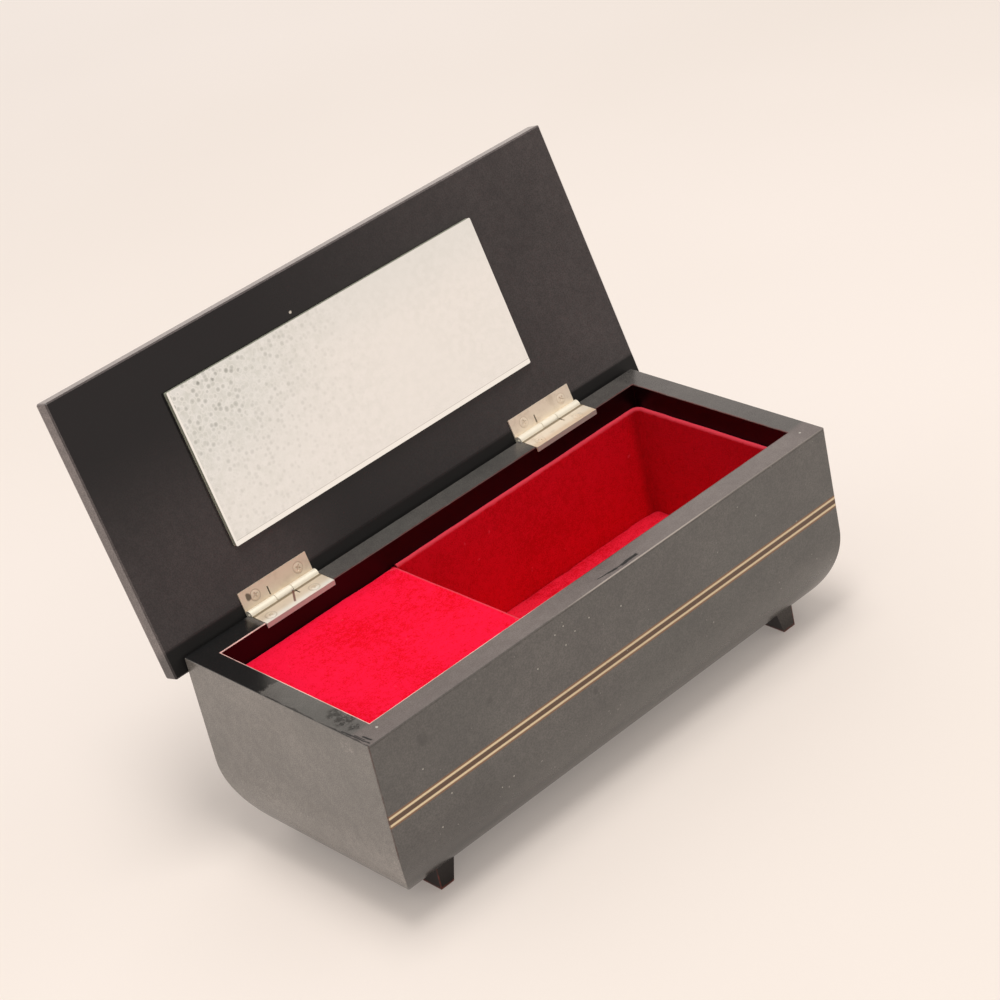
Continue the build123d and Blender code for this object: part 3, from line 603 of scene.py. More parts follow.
def foot_lacquer():
    """Lacquer of the feet, rubbed to red-brown along their lower and upright edges."""
    material, shader = new_material("foot_lacquer")
    where, x, y, z = place()
    dust_and_light = ramp(x, -60 * mm, 80 * mm, 0.03, 0.2)
    colour, gloss, fine = lacquer_base(where, dust_and_light, 0.25, foot_black)
    wide = size_of(x)
    deep = size_of(y)
    across = parts(facing())[0]
    end_side = ramp(size_of(across), 0.6, 0.9)
    low = fade(z, 0.8 * mm, 1.3 * mm)
    corner = both(
        ramp(wide, 81.3 * mm, 81.6 * mm),
        ramp(deep, 33.75 * mm, 34.05 * mm),
    )
    patchy = ramp(grain(where, 420.0, 3.0, 0.6), 0.35, 0.6, 0.3, 1.0)
    worn = both(either(low, corner), patchy)
    colour = blend(end_side, colour, foot_end)
    colour = blend(both(worn, 0.8), colour, foot_worn)
    dress(shader, colour, gloss, 0.3)
    bump(shader, fine, 0.02 * mm, 0.5)
    return material


# Velvet

lint_pink = srgb(250, 100, 120)
# Painted shade colour for the velvet's corners
painted_shade_red = srgb(108, 0, 5)
painted_sheen_pink = srgb(230, 70, 86)
sheen_pink = srgb(255, 70, 96)
cover_reds = (srgb(234, 0, 24), srgb(255, 20, 62))
# Painted shade and light: the lining's reds are a darker copy of the cover's for the compartment's
# shade, and the floor's reds are lighter than the lining's for the light on the upward-facing floor.
shaded_lining_reds = (srgb(206, 4, 22), srgb(226, 12, 36))
lit_floor_reds = (srgb(214, 6, 30), srgb(240, 34, 62))


def velvet(name, colour, light, worn, paler=None, deeper=None):
    """Short red pile: sparkling mottled colour, soft relief and sheen, with painted sheen on paler
    parts and painted shade on deeper parts.
    """
    material, shader = new_material(name)
    where, x, y, z = place()
    pile = grain(where, 1900.0, 2.0, 0.7)
    clump = grain(where, 420.0, 3.0, 0.6)
    cloud = grain(where, 45.0, 3.0, 0.5)
    mottle = scaled(pile, 0.6, calc("MULTIPLY", clump, 0.35))
    mottle = scaled(cloud, 0.3, mottle)
    shade = blend(ramp(mottle, 0.5, 0.68), colour, light)
    lint = ramp(grain(where, 430.0, 1.0, 0.3), 0.78, 0.84, 0.0, 0.2)
    shade = blend(lint, shade, lint_pink)
    if deeper:
        share = deeper(x, y, z)
        # Painted shade in corners.
        shade = blend(share, shade, painted_shade_red)
    if paler:
        share = paler(x, y, scaled(clump, 0.8 * mm, z))
        # Painted sheen where the pile turns over an edge.
        shade = blend(share, shade, painted_sheen_pink)
    dress(shader, shade, 0.95, 0.1)
    shader.inputs["Sheen Weight"].default_value = worn
    shader.inputs["Sheen Roughness"].default_value = 0.45
    shader.inputs["Sheen Tint"].default_value = sheen_pink
    bump(shader, mottle, 0.4 * mm, 0.7)
    return material


def corner_reach(x, y):
    """Distance from the middle of the rounding at the cover's back right corner."""
    from_x = calc("MAXIMUM", calc("SUBTRACT", x, divider_x - cover_corner), 0.0)
    from_y = calc("MAXIMUM", calc("SUBTRACT", y, inner_y - cover_corner), 0.0)
    return hypotenuse(from_x, from_y)


def cover_corner_shade(x, y, z):
    """The cover's back right corner, where the cloth is drawn round and down."""
    return ramp(corner_reach(x, y), cover_corner, cover_corner + 0.5 * mm, 0.0, 0.6)


def cover_edge_sheen(x, y, z):
    """Painted sheen where the cover's cloth turns down: its rounded edges."""
    reach = corner_reach(x, y)
    drawn = band(reach, cover_corner - 0.7 * mm, cover_corner + 0.1 * mm, 0.3 * mm)
    far = ramp(x, divider_x - 1.5 * mm, divider_x - 1.0 * mm)
    back = ramp(y, inner_y - 1.0 * mm, inner_y - 0.5 * mm)
    near = ramp(size_of(x), inner_x - 0.9 * mm, inner_x - 0.4 * mm, 0.0, 0.6)
    outside = fade(reach, cover_corner, cover_corner + 0.4 * mm)
    edges = either(both(far, 0.85), both(either(back, near), 0.6))
    return either(both(edges, outside), both(drawn, 0.6))


def liner_top_sheen(x, y, z):
    """Painted sheen on the rounded tops of the liners."""
    return ramp(z, 61.2 * mm, 62.1 * mm, 0.0, 0.85)


def liner_corner_shade(x, y, z):
    """Painted shade on the end wall and in the upright corners beside it."""
    end_wall = ramp(x, inner_x - 4.5 * mm, inner_x - 1.8 * mm, 0.0, 0.4)
    deep = size_of(y)
    from_x = calc("SUBTRACT", inner_x - 1.5 * mm, x)
    from_y = calc("SUBTRACT", inner_y - 1.5 * mm, deep)
    corner = ramp(calc("MAXIMUM", from_x, from_y), 0.5 * mm, 6.0 * mm, 0.5, 0.0)
    return either(end_wall, corner)


# Mirror, metal and board

silver_lower = srgb(247, 246, 242)
silver_upper = srgb(235, 238, 235)
clouding = srgb(206, 210, 201)
ring_pale = srgb(252, 253, 250)
spot_grey = srgb(172, 175, 170)
spot_dark = srgb(120, 122, 116)
bevel_line_grey = srgb(150, 146, 136)
bevel_highlight_pale = srgb(255, 255, 250)
glass_edge = srgb(176, 178, 160)
plate_right = srgb(242, 228, 208)
plate_left = srgb(222, 206, 184)
plate_stain = srgb(196, 176, 150)
inner_right = srgb(232, 208, 180)
inner_left = srgb(240, 234, 222)
turned_counter_tint = srgb(176, 206, 198)
crevice_shade_olive = srgb(112, 96, 66)
knuckle_highlight_pale = srgb(250, 244, 226)
ring_brown = srgb(138, 114, 94)
stain_brown = srgb(70, 62, 46)
tick_red = srgb(96, 30, 26)
board_pale = srgb(196, 160, 116)
board_dark = srgb(140, 104, 68)


def mirror_glass():
    """Silvered glass, clouded and spotted towards its upper left, with a painted highlight for a ground
    bevel along its lower and left edges and a grey line above the lower one.
    """
    material, shader = new_material("mirror_glass")
    where, x, y, z = place()
    rise = lid_rise(where)
    leftward = fade(x, -66 * mm, 20 * mm)
    upward = ramp(rise, 28 * mm, 76 * mm, 0.3, 1.0)
    aged = both(leftward, upward)
    mottle = grain(where, 420.0, 2.0, 0.5)
    patches = grain(where, 60.0, 2.0, 0.5)
    cells = new_node("TexVoronoi")
    cells.inputs["Scale"].default_value = 540.0
    put(cells.inputs["Vector"], where)
    pick = parts(cells.outputs["Color"])
    round_spots = fade(cells.outputs["Distance"], 0.1, 0.56)
    round_spots = both(round_spots, ramp(pick[0], 0.15, 0.8))
    rings = band(cells.outputs["Distance"], 0.48, 0.60, 0.1)
    clouded = both(
        ramp(mottle, 0.3, 0.7),
        ramp(aged, 0.0, 0.7, 0.12, 0.42),
        ramp(patches, 0.35, 0.65, 0.5, 1.1),
    )
    upper = ramp(rise, 52 * mm, 74 * mm, 0.0, 0.6)
    upper = either(ramp(aged, 0.0, 0.8), upper)
    ground = blend(upper, silver_lower, silver_upper)
    colour = blend(clouded, ground, clouding)
    colour = blend(both(rings, aged, 0.6), colour, ring_pale)
    colour = blend(both(round_spots, aged, 0.66), colour, spot_grey)
    cornered = fade(x, -66 * mm, -25 * mm)
    near_corner = both(cornered, ramp(rise, 50 * mm, 76 * mm))
    spots = both(round_spots, near_corner, ramp(pick[1], 0.55, 0.8))
    colour = blend(both(spots, 0.6), colour, spot_dark)
    # Painted highlight for the ground bevel, with a painted grey line where it meets the face.
    bevel_highlight = either(
        band(rise, mirror_low - 1.0 * mm, mirror_low + 1.5 * mm, 0.1 * mm),
        band(x, mirror_left - 1.0 * mm, mirror_left + 0.7 * mm, 0.1 * mm),
    )
    line = band(rise, mirror_low + 1.55 * mm, mirror_low + 1.75 * mm, 0.1 * mm)
    colour = blend(both(line, 0.4), colour, bevel_line_grey)
    colour = blend(bevel_highlight, colour, bevel_highlight_pale)
    edge = fade(level(facing(), lid_in), 0.6, 0.9)
    colour = blend(edge, colour, glass_edge)
    dress(shader, colour, 0.1, metallic=unless(edge))
    bump(shader, both(mottle, aged), 0.3 * mm, 0.12)
    return material


def nickel_plate(screws):
    """Warm nickel: painted highlight on the knuckles, painted shade in the crevices under them, a
    blue-green tint against the velvet's red light on the turned-down strips, rings round the screws and
    stains.
    """
    material, shader = new_material("nickel")
    where, x, y, z = place()
    cloud = grain(where, 240.0, 4.0, 0.6)
    brushed = grain(where, 1900.0, 2.0, 0.5, (0.15, 1, 1))
    left = fade(x, -20 * mm, 0.0)
    plate = blend(left, plate_right, plate_left)
    colour = blend(ramp(cloud, 0.45, 0.75, 0.0, 0.45), plate, plate_stain)
    inner = fade(y, inner_y + 0.3 * mm, inner_y + 3 * mm)
    inner_tone = blend(left, inner_right, inner_left)
    colour = blend(inner, colour, inner_tone)
    aside_y = calc("SUBTRACT", y, hinge_y)
    aside_z = calc("SUBTRACT", z, hinge_z)
    # Painted highlight on the curved knuckles.
    knuckle_highlight = ramp(hypotenuse(aside_y, aside_z), 1.62 * mm, 1.75 * mm, 0.85, 0.0)
    along = parts(facing())[1]
    turned_down = both(
        ramp(along, -0.6, -0.9),
        ramp(y, inner_y + 0.3 * mm, inner_y + 0.1 * mm),
    )
    # Painted light correction: the turned-down strip is tinted blue-green against the red light it gets
    # from the velvet.
    colour = blend(both(turned_down, 0.8), colour, turned_counter_tint)
    # Painted shade in the crevices under the knuckles.
    crevice_shade = both(
        band(y, hinge_y - 2.9 * mm, hinge_y - 1.7 * mm, 0.3 * mm),
        ramp(z, 69.0 * mm, 69.5 * mm, 0.0, 0.85),
        fade(z, 70.3 * mm, 70.8 * mm),
    )
    colour = blend(crevice_shade, colour, crevice_shade_olive)
    colour = blend(knuckle_highlight, colour, knuckle_highlight_pale)
    rings = None
    for screw in screws:
        distance = away(where, screw)
        ring = band(distance, 1.75 * mm, 2.0 * mm, 0.2 * mm)
        core = ramp(distance, 0.3 * mm, 0.9 * mm, 0.5, 0.0)
        here = either(ring, core)
        rings = here if rings is None else either(rings, here)
    rings = both(rings, ramp(left, 0.0, 1.0, 0.16, 0.45))
    colour = blend(rings, colour, ring_brown)
    stain = spot(where, (-70.4, 46.8, 74.2), 1.4, 1.0)
    colour = blend(both(stain, 0.85), colour, stain_brown)
    tick = scratch(x, y, (-56.6, 42.6), (-60.4, 36.9), 0.5)
    tick = both(tick, ramp(z, 69.6 * mm, 69.9 * mm), 0.85)
    colour = blend(tick, colour, tick_red)
    dress(shader, colour, scaled(brushed, 0.15, 0.4), metallic=0.25)
    bump(shader, calc("ADD", brushed, cloud), 0.03 * mm, 0.5)
    return material


def metal(name, colour, stain, roughness, scale, stained=0.35):
    """Metal with fine brushing and stains."""
    material, shader = new_material(name)
    where = coordinates()
    cloud = grain(where, scale, 4.0, 0.6)
    brushed = grain(where, scale * 8, 2.0, 0.5, (0.15, 1, 1))
    share = ramp(cloud, 0.45, 0.75, 0.0, stained)
    uneven = scaled(brushed, 0.15, roughness - 0.07)
    dress(shader, blend(share, colour, stain), uneven, metallic=1.0)
    bump(shader, brushed, 0.02 * mm, 0.4)
    return material


def bare_board():
    """Plain board with straight grain."""
    material, shader = new_material("bare_board")
    where = coordinates()
    lines = grain(where, 220.0, 4.0, 0.6, (0.08, 1, 1))
    colour = blend(ramp(lines, 0.35, 0.7), board_pale, board_dark)
    dress(shader, colour, 0.7)
    bump(shader, lines, 0.05 * mm, 0.4)
    return material


# Small tools for meshes


def new_object(name, data):
    """A new object in the scene."""
    item = bpy.data.objects.new(name, data)
    bpy.context.scene.collection.objects.link(item)
    return item


def coat(mesh, *materials):
    """Gives a mesh its materials in place of any that it has."""
    mesh.materials.clear()
    for material in materials:
        mesh.materials.append(material)


def smooth_shade(mesh):
    """Smooth shading on all of a mesh's faces."""
    mesh.polygons.foreach_set("use_smooth", [True] * len(mesh.polygons))


def finish_mesh(name, bm, material, smooth=60):
    """A new object from a bmesh, with smooth shading up to an angle."""
    mesh = bpy.data.meshes.new(name)
    bmesh.ops.recalc_face_normals(bm, faces=bm.faces)
    bm.to_mesh(mesh)
    bm.free()
    coat(mesh, material)
    smooth_shade(mesh)
    mesh.set_sharp_from_angle(angle=math.radians(smooth))
    return new_object(name, mesh)


def join_rows(bm, rows):
    """Faces between neighbouring rows of points."""
    for below, above in zip(rows, rows[1:]):
        for j in range(len(below) - 1):
            bm.faces.new((below[j], above[j], above[j + 1], below[j + 1]))


def grid_mesh(name, count_u, count_v, point_at, material):
    """An open sheet whose points come from a function of two shares from 0 to 1."""
    bm = bmesh.new()
    rows = []
    for i in range(count_u + 1):
        row = [bm.verts.new(point_at(i / count_u, j / count_v)) for j in range(count_v + 1)]
        rows.append(row)
    join_rows(bm, rows)
    return finish_mesh(name, bm, material, 80)


def applied(piece):
    """Turns a piece's modifiers into its mesh."""
    bpy.context.view_layer.update()
    graph = bpy.context.evaluated_depsgraph_get()
    mesh = bpy.data.meshes.new_from_object(piece.evaluated_get(graph))
    piece.modifiers.clear()
    piece.data = mesh
    return piece


def rolled(share, length, radius, drop_start, drop_end):
    """Place along a sheet whose two ends turn down over a rounded edge: distance and fall."""
    quarter = radius * math.pi / 2
    total = length - 2 * radius + 2 * quarter + drop_start + drop_end
    run = share * total
    if run < drop_start:
        return 0.0, radius + drop_start - run
    run -= drop_start
    if run < quarter:
        turn = run / radius
        return radius * (1 - math.cos(turn)), radius * (1 - math.sin(turn))
    run -= quarter
    if run < length - 2 * radius:
        return radius + run, 0.0
    run -= length - 2 * radius
    if run < quarter:
        turn = run / radius
        return length - radius + radius * math.sin(turn), radius * (1 - math.cos(turn))
    return length, radius + run - quarter


# Case


def half_width(half, inset, z):
    """Half of the case's width at a height: upright above, an arc below."""
    drop = curve_z - z
    if drop <= 0:
        return half
    height = curve_z - underside_z
    radius = (inset**2 + height**2) / (2 * inset)
    return half - radius + math.sqrt(radius**2 - drop**2)


def corner_loop(bm, half_x, half_y, radius, z, steps=4):
    """Points of a level rectangle with rounded corners."""
    loop = []
    for corner, (side_x, side_y) in enumerate(((1, 1), (-1, 1), (-1, -1), (1, -1))):
        for step in range(steps + 1):
            turn = math.radians(90 * corner + 90 * step / steps)
            x = side_x * (half_x - radius) + radius * math.cos(turn)
            y = side_y * (half_y - radius) + radius * math.sin(turn)
            loop.append(bm.verts.new((x, y, z)))
    return loop


def cutter(name, bm):
    """A hidden helper solid for cutting."""
    mesh = bpy.data.meshes.new(name)
    bm.to_mesh(mesh)
    bm.free()
    return new_object(name, mesh)


def box_form(size, middle):
    """A box of a size round a middle."""
    bm = bmesh.new()
    bmesh.ops.create_cube(bm, size=1)
    bmesh.ops.scale(bm, vec=size, verts=bm.verts)
    bmesh.ops.translate(bm, vec=middle, verts=bm.verts)
    return bm


def box_cutter(name, low, high):
    """A box between two corners, for cutting."""
    low = Vector(low)
    high = Vector(high)
    return cutter(name, box_form(high - low, (low + high) / 2))


def round_cutter(name, centre, radius, length, turn=None):
    """A cylinder round a centre, for cutting."""
    bm = bmesh.new()
    bmesh.ops.create_cone(bm, cap_ends=True, segments=48, radius1=radius, radius2=radius, depth=length)
    if turn is not None:
        bmesh.ops.rotate(bm, matrix=turn, verts=bm.verts)
    bmesh.ops.translate(bm, vec=centre, verts=bm.verts)
    return cutter(name, bm)


def cut_away(piece, helpers):
    """Cuts the helpers out of a piece and removes them."""
    for helper in helpers:
        step = piece.modifiers.new("cut", "BOOLEAN")
        step.operation = "DIFFERENCE"
        step.solver = "EXACT"
        step.object = helper
    applied(piece)
    for helper in helpers:
        bpy.data.objects.remove(helper)


def make_case(material, inside):
    """The lacquered case as one shell with softened edges and a darker inside."""
    bm = bmesh.new()
    edge = 0.35 * mm
    corner = 0.5 * mm
    outer_levels = [(underside_z, edge), (underside_z + 0.1 * mm, 0.1 * mm), (underside_z + edge, 0.0)]
    curve_steps = 22
    curve_height = curve_z - underside_z - edge
    for step in range(1, curve_steps + 1):
        outer_levels.append((underside_z + edge + curve_height * step / curve_steps, 0.0))
    outer_levels += [(rim_z - edge, 0.0), (rim_z - 0.1 * mm, 0.1 * mm), (rim_z, edge)]
    loops = []
    for z, shrink in outer_levels:
        half_x = half_width(case_half_x, end_inset, z) - shrink
        half_y = half_width(case_half_y, side_inset, z) - shrink
        loops.append(corner_loop(bm, half_x, half_y, max(corner - shrink, 0.15 * mm), z))
    lip = 0.2 * mm
    loops.append(corner_loop(bm, inner_x + lip, inner_y + lip, 0.2 * mm, rim_z))
    loops.append(corner_loop(bm, inner_x, inner_y, 0.15 * mm, rim_z - lip))
    loops.append(corner_loop(bm, inner_x, inner_y, 0.15 * mm, board_top))
    count = len(loops[0])
    for below, above in zip(loops, loops[1:]):
        for i in range(count):
            j = (i + 1) % count
            bm.faces.new((below[i], below[j], above[j], above[i]))
    bm.faces.new(list(reversed(loops[0])))
    bm.faces.new(loops[-1])
    case = finish_mesh("case_shell", bm, material, 50)

    helpers = []
    for centre in hinge_centres:
        low = (centre - seat_half, inner_y - 1 * mm, rim_z - leaf_thickness)
        high = (centre + seat_half, case_half_y + 1 * mm, rim_z + 1 * mm)
        helpers.append(box_cutter("seat", low, high))
        across = Matrix.Rotation(math.radians(90), 3, "Y")
        barrel = (centre, hinge_y, hinge_z)
        helpers.append(round_cutter("barrel_seat", barrel, 1.75 * mm, 2 * seat_half, across))
    for x, y in screw_seats:
        seat = (x * mm, y * mm, underside_z)
        helpers.append(round_cutter("screw_seat", seat, screw_seat_radius, 3.2 * mm))
    key_middle = (key_x, key_y, underside_z + 4 * mm)
    helpers.append(round_cutter("key_hole", key_middle, key_hole_radius, 12 * mm))
    cut_away(case, helpers)
    coat(case.data, material, inside)
    for face in case.data.polygons:
        middle = face.center
        deep_inside = abs(middle.x) < inner_x + 0.05 * mm and abs(middle.y) < inner_y + 0.05 * mm
        face.material_index = 1 if deep_inside and middle.z > board_top - 0.1 * mm else 0
    smooth_shade(case.data)
    case.data.set_sharp_from_angle(angle=math.radians(50))
    steady = case.modifiers.new("weighted", "WEIGHTED_NORMAL")
    steady.keep_sharp = True
    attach(case, "case")
    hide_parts("panel_front", "panel_back", "panel_left", "panel_right", "board_bottom")


# Cloth


def rough(point, scale, height):
    """Smooth unevenness of cloth at a point."""
    return noise.noise(point * scale) * height


def make_cover_velvet(material):
    """Velvet drawn over the cover board, turned down at its edges."""
    left = lining_gap - inner_x
    length = divider_x - left
    depth = 2 * (inner_y - lining_gap)
    radius = 0.9 * mm

    def point_at(u, v):
        along, fall_x = rolled(u, length, radius, 0.6 * mm, 2.2 * mm)
        across, fall_y = rolled(v, depth, radius, 0.6 * mm, 0.6 * mm)
        x = left + along
        y = across - depth / 2
        spot_here = Vector((x, y, 0))
        wave = rough(spot_here, 70, 0.18 * mm) + rough(spot_here, 420, 0.07 * mm)
        welt = 0.3 * mm * math.exp(-(((x - divider_x + 1.1 * mm) / (0.6 * mm)) ** 2))
        z = cover_top - max(fall_x, fall_y) + wave + welt
        return (x, y, z)

    cloth = grid_mesh("cover_cloth", 150, 150, point_at, material)
    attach(cloth, "case")
    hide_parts("cover_velvet")


def make_divider_velvet(material):
    """Velvet on the divider's side of the compartment."""
    half = inner_y - liner_thickness - lining_gap

    def point_at(u, v):
        y = (2 * u - 1) * half
        z = pad_top + (cover_bottom - pad_top) * v
        x = divider_x + rough(Vector((3, y, z)), 60, 0.15 * mm) - 0.15 * mm
        return (x, y, z)

    cloth = grid_mesh("divider_cloth", 70, 40, point_at, material)
    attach(cloth, "case")
    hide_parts("divider_velvet")


def liner_path(run):
    """Place and outward direction along the liners' faces: front wall, end wall, back wall."""
    start_x = divider_x + lining_gap
    end_x = inner_x - liner_thickness - liner_corner
    side_y = inner_y - liner_thickness - liner_corner
    straight = end_x - start_x
    arc = liner_corner * math.pi / 2
    if run < straight:
        return Vector((start_x + run, -side_y - liner_corner, 0)), Vector((0, -1, 0))
    run -= straight
    if run < arc:
        turn = run / liner_corner - math.pi / 2
        outward = Vector((math.cos(turn), math.sin(turn), 0))
        return Vector((end_x, -side_y, 0)) + outward * liner_corner, outward
    run -= arc
    if run < 2 * side_y:
        return Vector((end_x + liner_corner, -side_y + run, 0)), Vector((1, 0, 0))
    run -= 2 * side_y
    if run < arc:
        turn = run / liner_corner
        outward = Vector((math.cos(turn), math.sin(turn), 0))
        return Vector((end_x, side_y, 0)) + outward * liner_corner, outward
    run -= arc
    return Vector((end_x - run, side_y + liner_corner, 0)), Vector((0, 1, 0))


def make_liner(material):
    """Velvet on card round three walls: up the faces, over the rounded tops and down behind."""
    straight = inner_x - liner_thickness - liner_corner - divider_x - lining_gap
    end_wall = 2 * (inner_y - liner_thickness - liner_corner)
    length = 2 * straight + end_wall + math.pi * liner_corner
    radius = (liner_thickness - 0.1 * mm) / 2
    low_end = pad_top - 1.8 * mm
    face_height = liner_top - radius - low_end
    behind = 2.0 * mm
    total = face_height + math.pi * radius + behind

    def point_at(u, v):
        foot, outward = liner_path(u * length)
        run = v * total
        wave = rough(foot + Vector((0, 0, 0.3)), 45, 0.2 * mm) + rough(foot, 160, 0.12 * mm)
        if run < face_height:
            height = Vector((0, 0, low_end + run + wave * v))
            swell = math.sin(math.pi * min(1.0, run / face_height)) ** 0.6 * 0.3 * mm
            sink = rough(foot + height, 55, 0.3 * mm) * math.sin(math.pi * run / face_height)
            return foot - outward * (swell + sink) + height
        run -= face_height
        if run < math.pi * radius:
            turn = run / radius
            rise = radius * math.sin(turn)
            shift = radius * (1 - math.cos(turn))
            return foot + outward * shift + Vector((0, 0, liner_top - radius + rise + wave))
        run -= math.pi * radius
        return foot + outward * (2 * radius) + Vector((0, 0, liner_top - radius - run + wave))

    cloth = grid_mesh("liner_cloth", 330, 64, point_at, material)
    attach(cloth, "case")
    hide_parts("liner_back", "liner_front", "liner_right")


def puff(piece, pressure, cap, frames=20):
    """Swells a closed form by a cloth simulation; no point moves further than the cap."""
    before = [vertex.co.copy() for vertex in piece.data.vertices]
    cloth = piece.modifiers.new("cloth", "CLOTH")
    cloth.settings.use_pressure = True
    cloth.settings.uniform_pressure_force = pressure
    cloth.settings.effector_weights.gravity = 0
    cloth.point_cache.frame_end = frames
    for number in range(1, frames + 1):
        bpy.context.scene.frame_set(number)
    applied(piece)
    bpy.context.scene.frame_set(1)
    for vertex, start in zip(piece.data.vertices, before):
        move = vertex.co - start
        if move.length > cap:
            vertex.co = start + move * (cap / move.length)


def make_floor_pad(material):
    """Padded floor of the compartment: a slab puffed up by simulation, flat where it rests."""
    low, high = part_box("floor_pad")
    middle = (low + high) / 2
    swelling = 1.1 * mm
    size = Vector((high.x - low.x, high.y - low.y, high.z - low.z - swelling))
    slab = box_form(size, (middle.x, middle.y, low.z + size.z / 2))
    pad = finish_mesh("floor_cushion", slab, material, 70)
    even = pad.modifiers.new("even", "REMESH")
    even.mode = "VOXEL"
    even.voxel_size = 2.0 * mm
    applied(pad)
    puff(pad, 4.0, swelling)
    finer = pad.modifiers.new("finer", "SUBSURF")
    finer.levels = 1
    applied(pad)
    wall_x = inner_x - liner_thickness - 0.1 * mm
    wall_y = inner_y - liner_thickness - 0.1 * mm
    for vertex in pad.data.vertices:
        x = middle.x + (vertex.co.x - middle.x) * (1 + 4.0 * mm / size.x)
        y = vertex.co.y * (1 + 4.0 * mm / size.y)
        x = min(max(x, low.x), wall_x)
        y = min(max(y, -wall_y), wall_y)
        above = max(0.0, vertex.co.z - low.z) / size.z
        wave = rough(Vector((x, y, 1)), 50, 0.25 * mm) + rough(Vector((x, y, 2)), 300, 0.08 * mm)
        vertex.co = (x, y, max(vertex.co.z, low.z) + wave * min(1.0, above))
    coat(pad.data, material)
    smooth_shade(pad.data)
    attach(pad, "case")
    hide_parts("floor_pad")


# Hinge screws with cross recesses


def make_screws(name, node, places, normal, tilt, body, material):
    """Oval screw heads with a cross recess, set in their leaf."""
    head = 1.75 * mm
    dome = 0.2 * mm
    count = 22
    bm = bmesh.new()
    normal = Vector(normal)
    side = lid_across
    up = normal.cross(side)
    for number, centre in enumerate(places):
        spin = Matrix.Rotation(tilt + 0.7 * number, 3, normal)
        rows = []
        for i in range(count + 1):
            row = []
            for j in range(count + 1):
                a = 2 * i / count - 1
                b = 2 * j / count - 1
                x = a * math.sqrt(1 - b * b / 2)
                y = b * math.sqrt(1 - a * a / 2)
                reach = min(1.0, math.hypot(x, y))
                rise = dome * (1 - reach**2) + 0.05 * mm
                if reach > 0.97:
                    rise = -0.15 * mm
                if min(abs(x), abs(y)) < 0.13 and reach < 0.55:
                    rise -= 0.3 * mm
                point = centre + spin @ (side * x * head + up * y * head) + normal * rise
                row.append(bm.verts.new(point))
            rows.append(row)
        join_rows(bm, rows)
    screws = finish_mesh(name, bm, material, 35)
    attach(screws, body)
    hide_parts(node)


# Room

table_light = srgb(249, 238, 230)
table_shade = srgb(245, 234, 225)
backdrop_tone = srgb(246, 234, 226)
light_tint = (1.0, 0.975, 0.95, 1.0)


def seen_share():
    """1 for what the camera sees, also in a reflection or through glass."""
    path = new_node("LightPath")
    return either(*(path.outputs[f"Is {kind} Ray"] for kind in ("Camera", "Glossy", "Transmission")))


def mixed(share, first, second):
    """Two shaders mixed by a share."""
    node = new_node("MixShader")
    for socket, value in zip(node.inputs, (share, first, second)):
        put(socket, value)
    return node.outputs[0]


def make_floor():
    """Plain pale table top that runs on to the back."""
    material, shader = new_material("table_top")
    where = coordinates()
    cloud = grain(where, 2.2, 3.0, 0.5)
    fine = grain(where, 900.0, 2.0, 0.5)
    colour = blend(ramp(cloud, 0.3, 0.7), table_light, table_shade)
    dress(shader, colour, 0.75, 0.2)
    bump(shader, fine, 0.05 * mm, 0.2)
    glow = new_node("Emission")
    put(glow.inputs["Color"], colour)
    glow_share = ramp(away(where, (0, 0, 0)), 0.35, 1.4, 0.22, 0.95)
    surface = mixed(both(seen_share(), glow_share), shader.outputs[0], glow.outputs[0])
    put(tree.nodes["Material Output"].inputs["Surface"], surface)
    bm = bmesh.new()
    bmesh.ops.create_grid(bm, x_segments=1, y_segments=1, size=4)
    floor = finish_mesh("table", bm, material)


def make_world():
    """Even pale surroundings; camera and glossy rays see the backdrop's colour."""
    world = bpy.data.worlds.new("studio")
    bpy.context.scene.world = world
    open_tree(world)
    tree.nodes.clear()
    height = parts(new_node("TexCoord").outputs["Generated"])[2]
    light = new_node("Background")
    light.inputs["Color"].default_value = light_tint
    put(light.inputs["Strength"], ramp(height, 0.0, 0.6, 0.28, 0.65))
    backdrop = new_node("Background")
    backdrop.inputs["Color"].default_value = backdrop_tone
    backdrop.inputs["Strength"].default_value = 1.0
    surface = mixed(seen_share(), light.outputs[0], backdrop.outputs[0])
    put(new_node("OutputWorld").inputs["Surface"], surface)


def make_lamp():
    """A large soft lamp high over the box, aimed at its middle."""
    lamp_place = Vector((-0.07, -0.11, 1.6))
    target = Vector((0, 0, 0.04))
    data = bpy.data.lights.new("overhead", "AREA")
    data.shape = "RECTANGLE"
    data.size = 0.4
    data.size_y = 0.85
    data.energy = 12.8
    data.color = (1.0, 0.98, 0.955)
    lamp = new_object("overhead", data)
    lamp.location = lamp_place
    lamp.rotation_euler = (target - lamp_place).to_track_quat("-Z", "Y").to_euler()


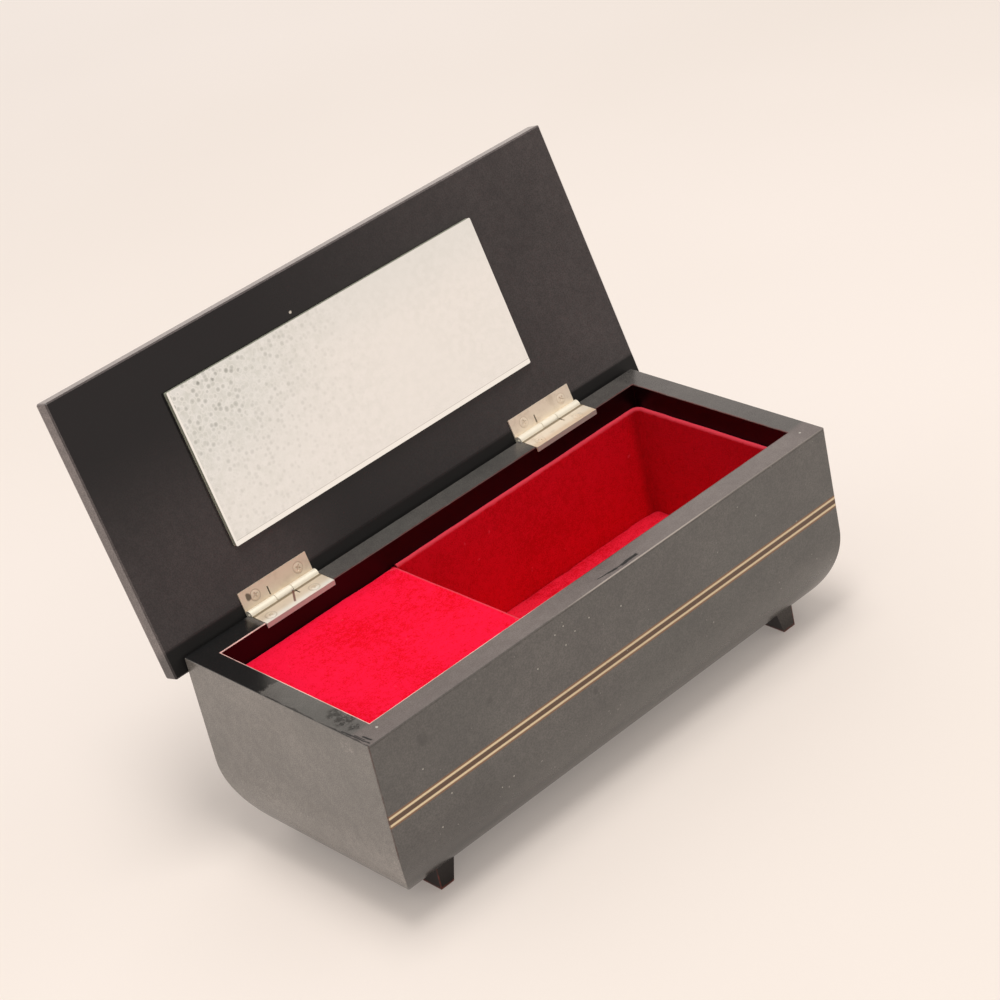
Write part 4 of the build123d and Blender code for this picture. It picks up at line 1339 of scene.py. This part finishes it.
def make_camera():
    """Camera at the photograph's viewing angle."""
    azimuth = math.radians(36.98)
    elevation = math.radians(29.58)
    roll = math.radians(13.02)
    view_angle = math.radians(20.475)
    camera_place = (-0.45335, -0.60069, 0.51214)
    ahead = Vector((math.sin(azimuth), math.cos(azimuth), 0))
    straight_up = Vector((0, 0, 1))
    forward = ahead * math.cos(elevation) - straight_up * math.sin(elevation)
    level_right = Vector((math.cos(azimuth), -math.sin(azimuth), 0))
    level_up = ahead * math.sin(elevation) + straight_up * math.cos(elevation)
    right = level_right * math.cos(roll) - level_up * math.sin(roll)
    up = level_right * math.sin(roll) + level_up * math.cos(roll)
    turn = Matrix((right, up, -forward)).transposed()
    data = bpy.data.cameras.new("camera")
    data.sensor_fit = "HORIZONTAL"
    data.sensor_width = 36
    data.angle = view_angle
    data.clip_start = 0.01
    camera = new_object("camera", data)
    camera.matrix_world = Matrix.Translation(camera_place) @ turn.to_4x4()
    bpy.context.scene.camera = camera


# Put everything together
bpy.context.scene.view_settings.view_transform = "Standard"

case_finish = case_lacquer()
lid_finish = lid_lacquer()
foot_finish = foot_lacquer()
cover_velvet = velvet("velvet_cover", *cover_reds, 0.2, cover_edge_sheen, cover_corner_shade)
lining_velvet = velvet("velvet_lining", *shaded_lining_reds, 0.15, liner_top_sheen, liner_corner_shade)
floor_velvet = velvet("velvet_floor", *lit_floor_reds, 0.3)
mirror_finish = mirror_glass()

lid_screw_places = []
case_screw_places = []
for centre in hinge_centres:
    for x in (-8.4 * mm, 9.4 * mm):
        base = hinge_point + lid_across * (centre + x) + lid_up * (4.4 * mm)
        lid_screw_places.append(base - lid_in * (lid_face_depth - leaf_thickness))
    for x in (-10.2 * mm, 7.8 * mm):
        case_screw_places.append(Vector((centre + x, inner_y + 2.3 * mm, rim_z)))
nickel = nickel_plate(lid_screw_places + case_screw_places)
brass = metal("brass", srgb(214, 178, 108), srgb(140, 104, 56), 0.3, 120.0)
steel = metal("steel", srgb(186, 186, 188), srgb(120, 116, 112), 0.32, 120.0)
zinc = metal("zinc", srgb(172, 172, 168), srgb(124, 124, 120), 0.5, 160.0)
board = bare_board()

make_case(case_finish, inside_lacquer())
make_cover_velvet(cover_velvet)
make_divider_velvet(lining_velvet)
make_liner(lining_velvet)
make_floor_pad(floor_velvet)
make_screws("lid_screw_heads", "hinge_screws_lid", lid_screw_places, lid_in, 0.3, "lid", nickel)
make_screws("case_screw_heads", "hinge_screws_case", case_screw_places, (0, 0, 1), 0.5, "case", nickel)

finishes = {
    "black_lacquer": foot_finish,
    "bare_board": board,
    "red_velvet": lining_velvet,
    "nickel": nickel,
    "mirror_glass": mirror_finish,
    "brass": brass,
    "steel": steel,
    "zinc": zinc,
}
for part in frame["record"]["subparts"]:
    finish = finishes[part["material_slot"]]
    if part["node"] == "lid_panel":
        finish = lid_finish
    coat(nodes[part["node"]].data, finish)

make_floor()
make_world()
make_lamp()
make_camera()
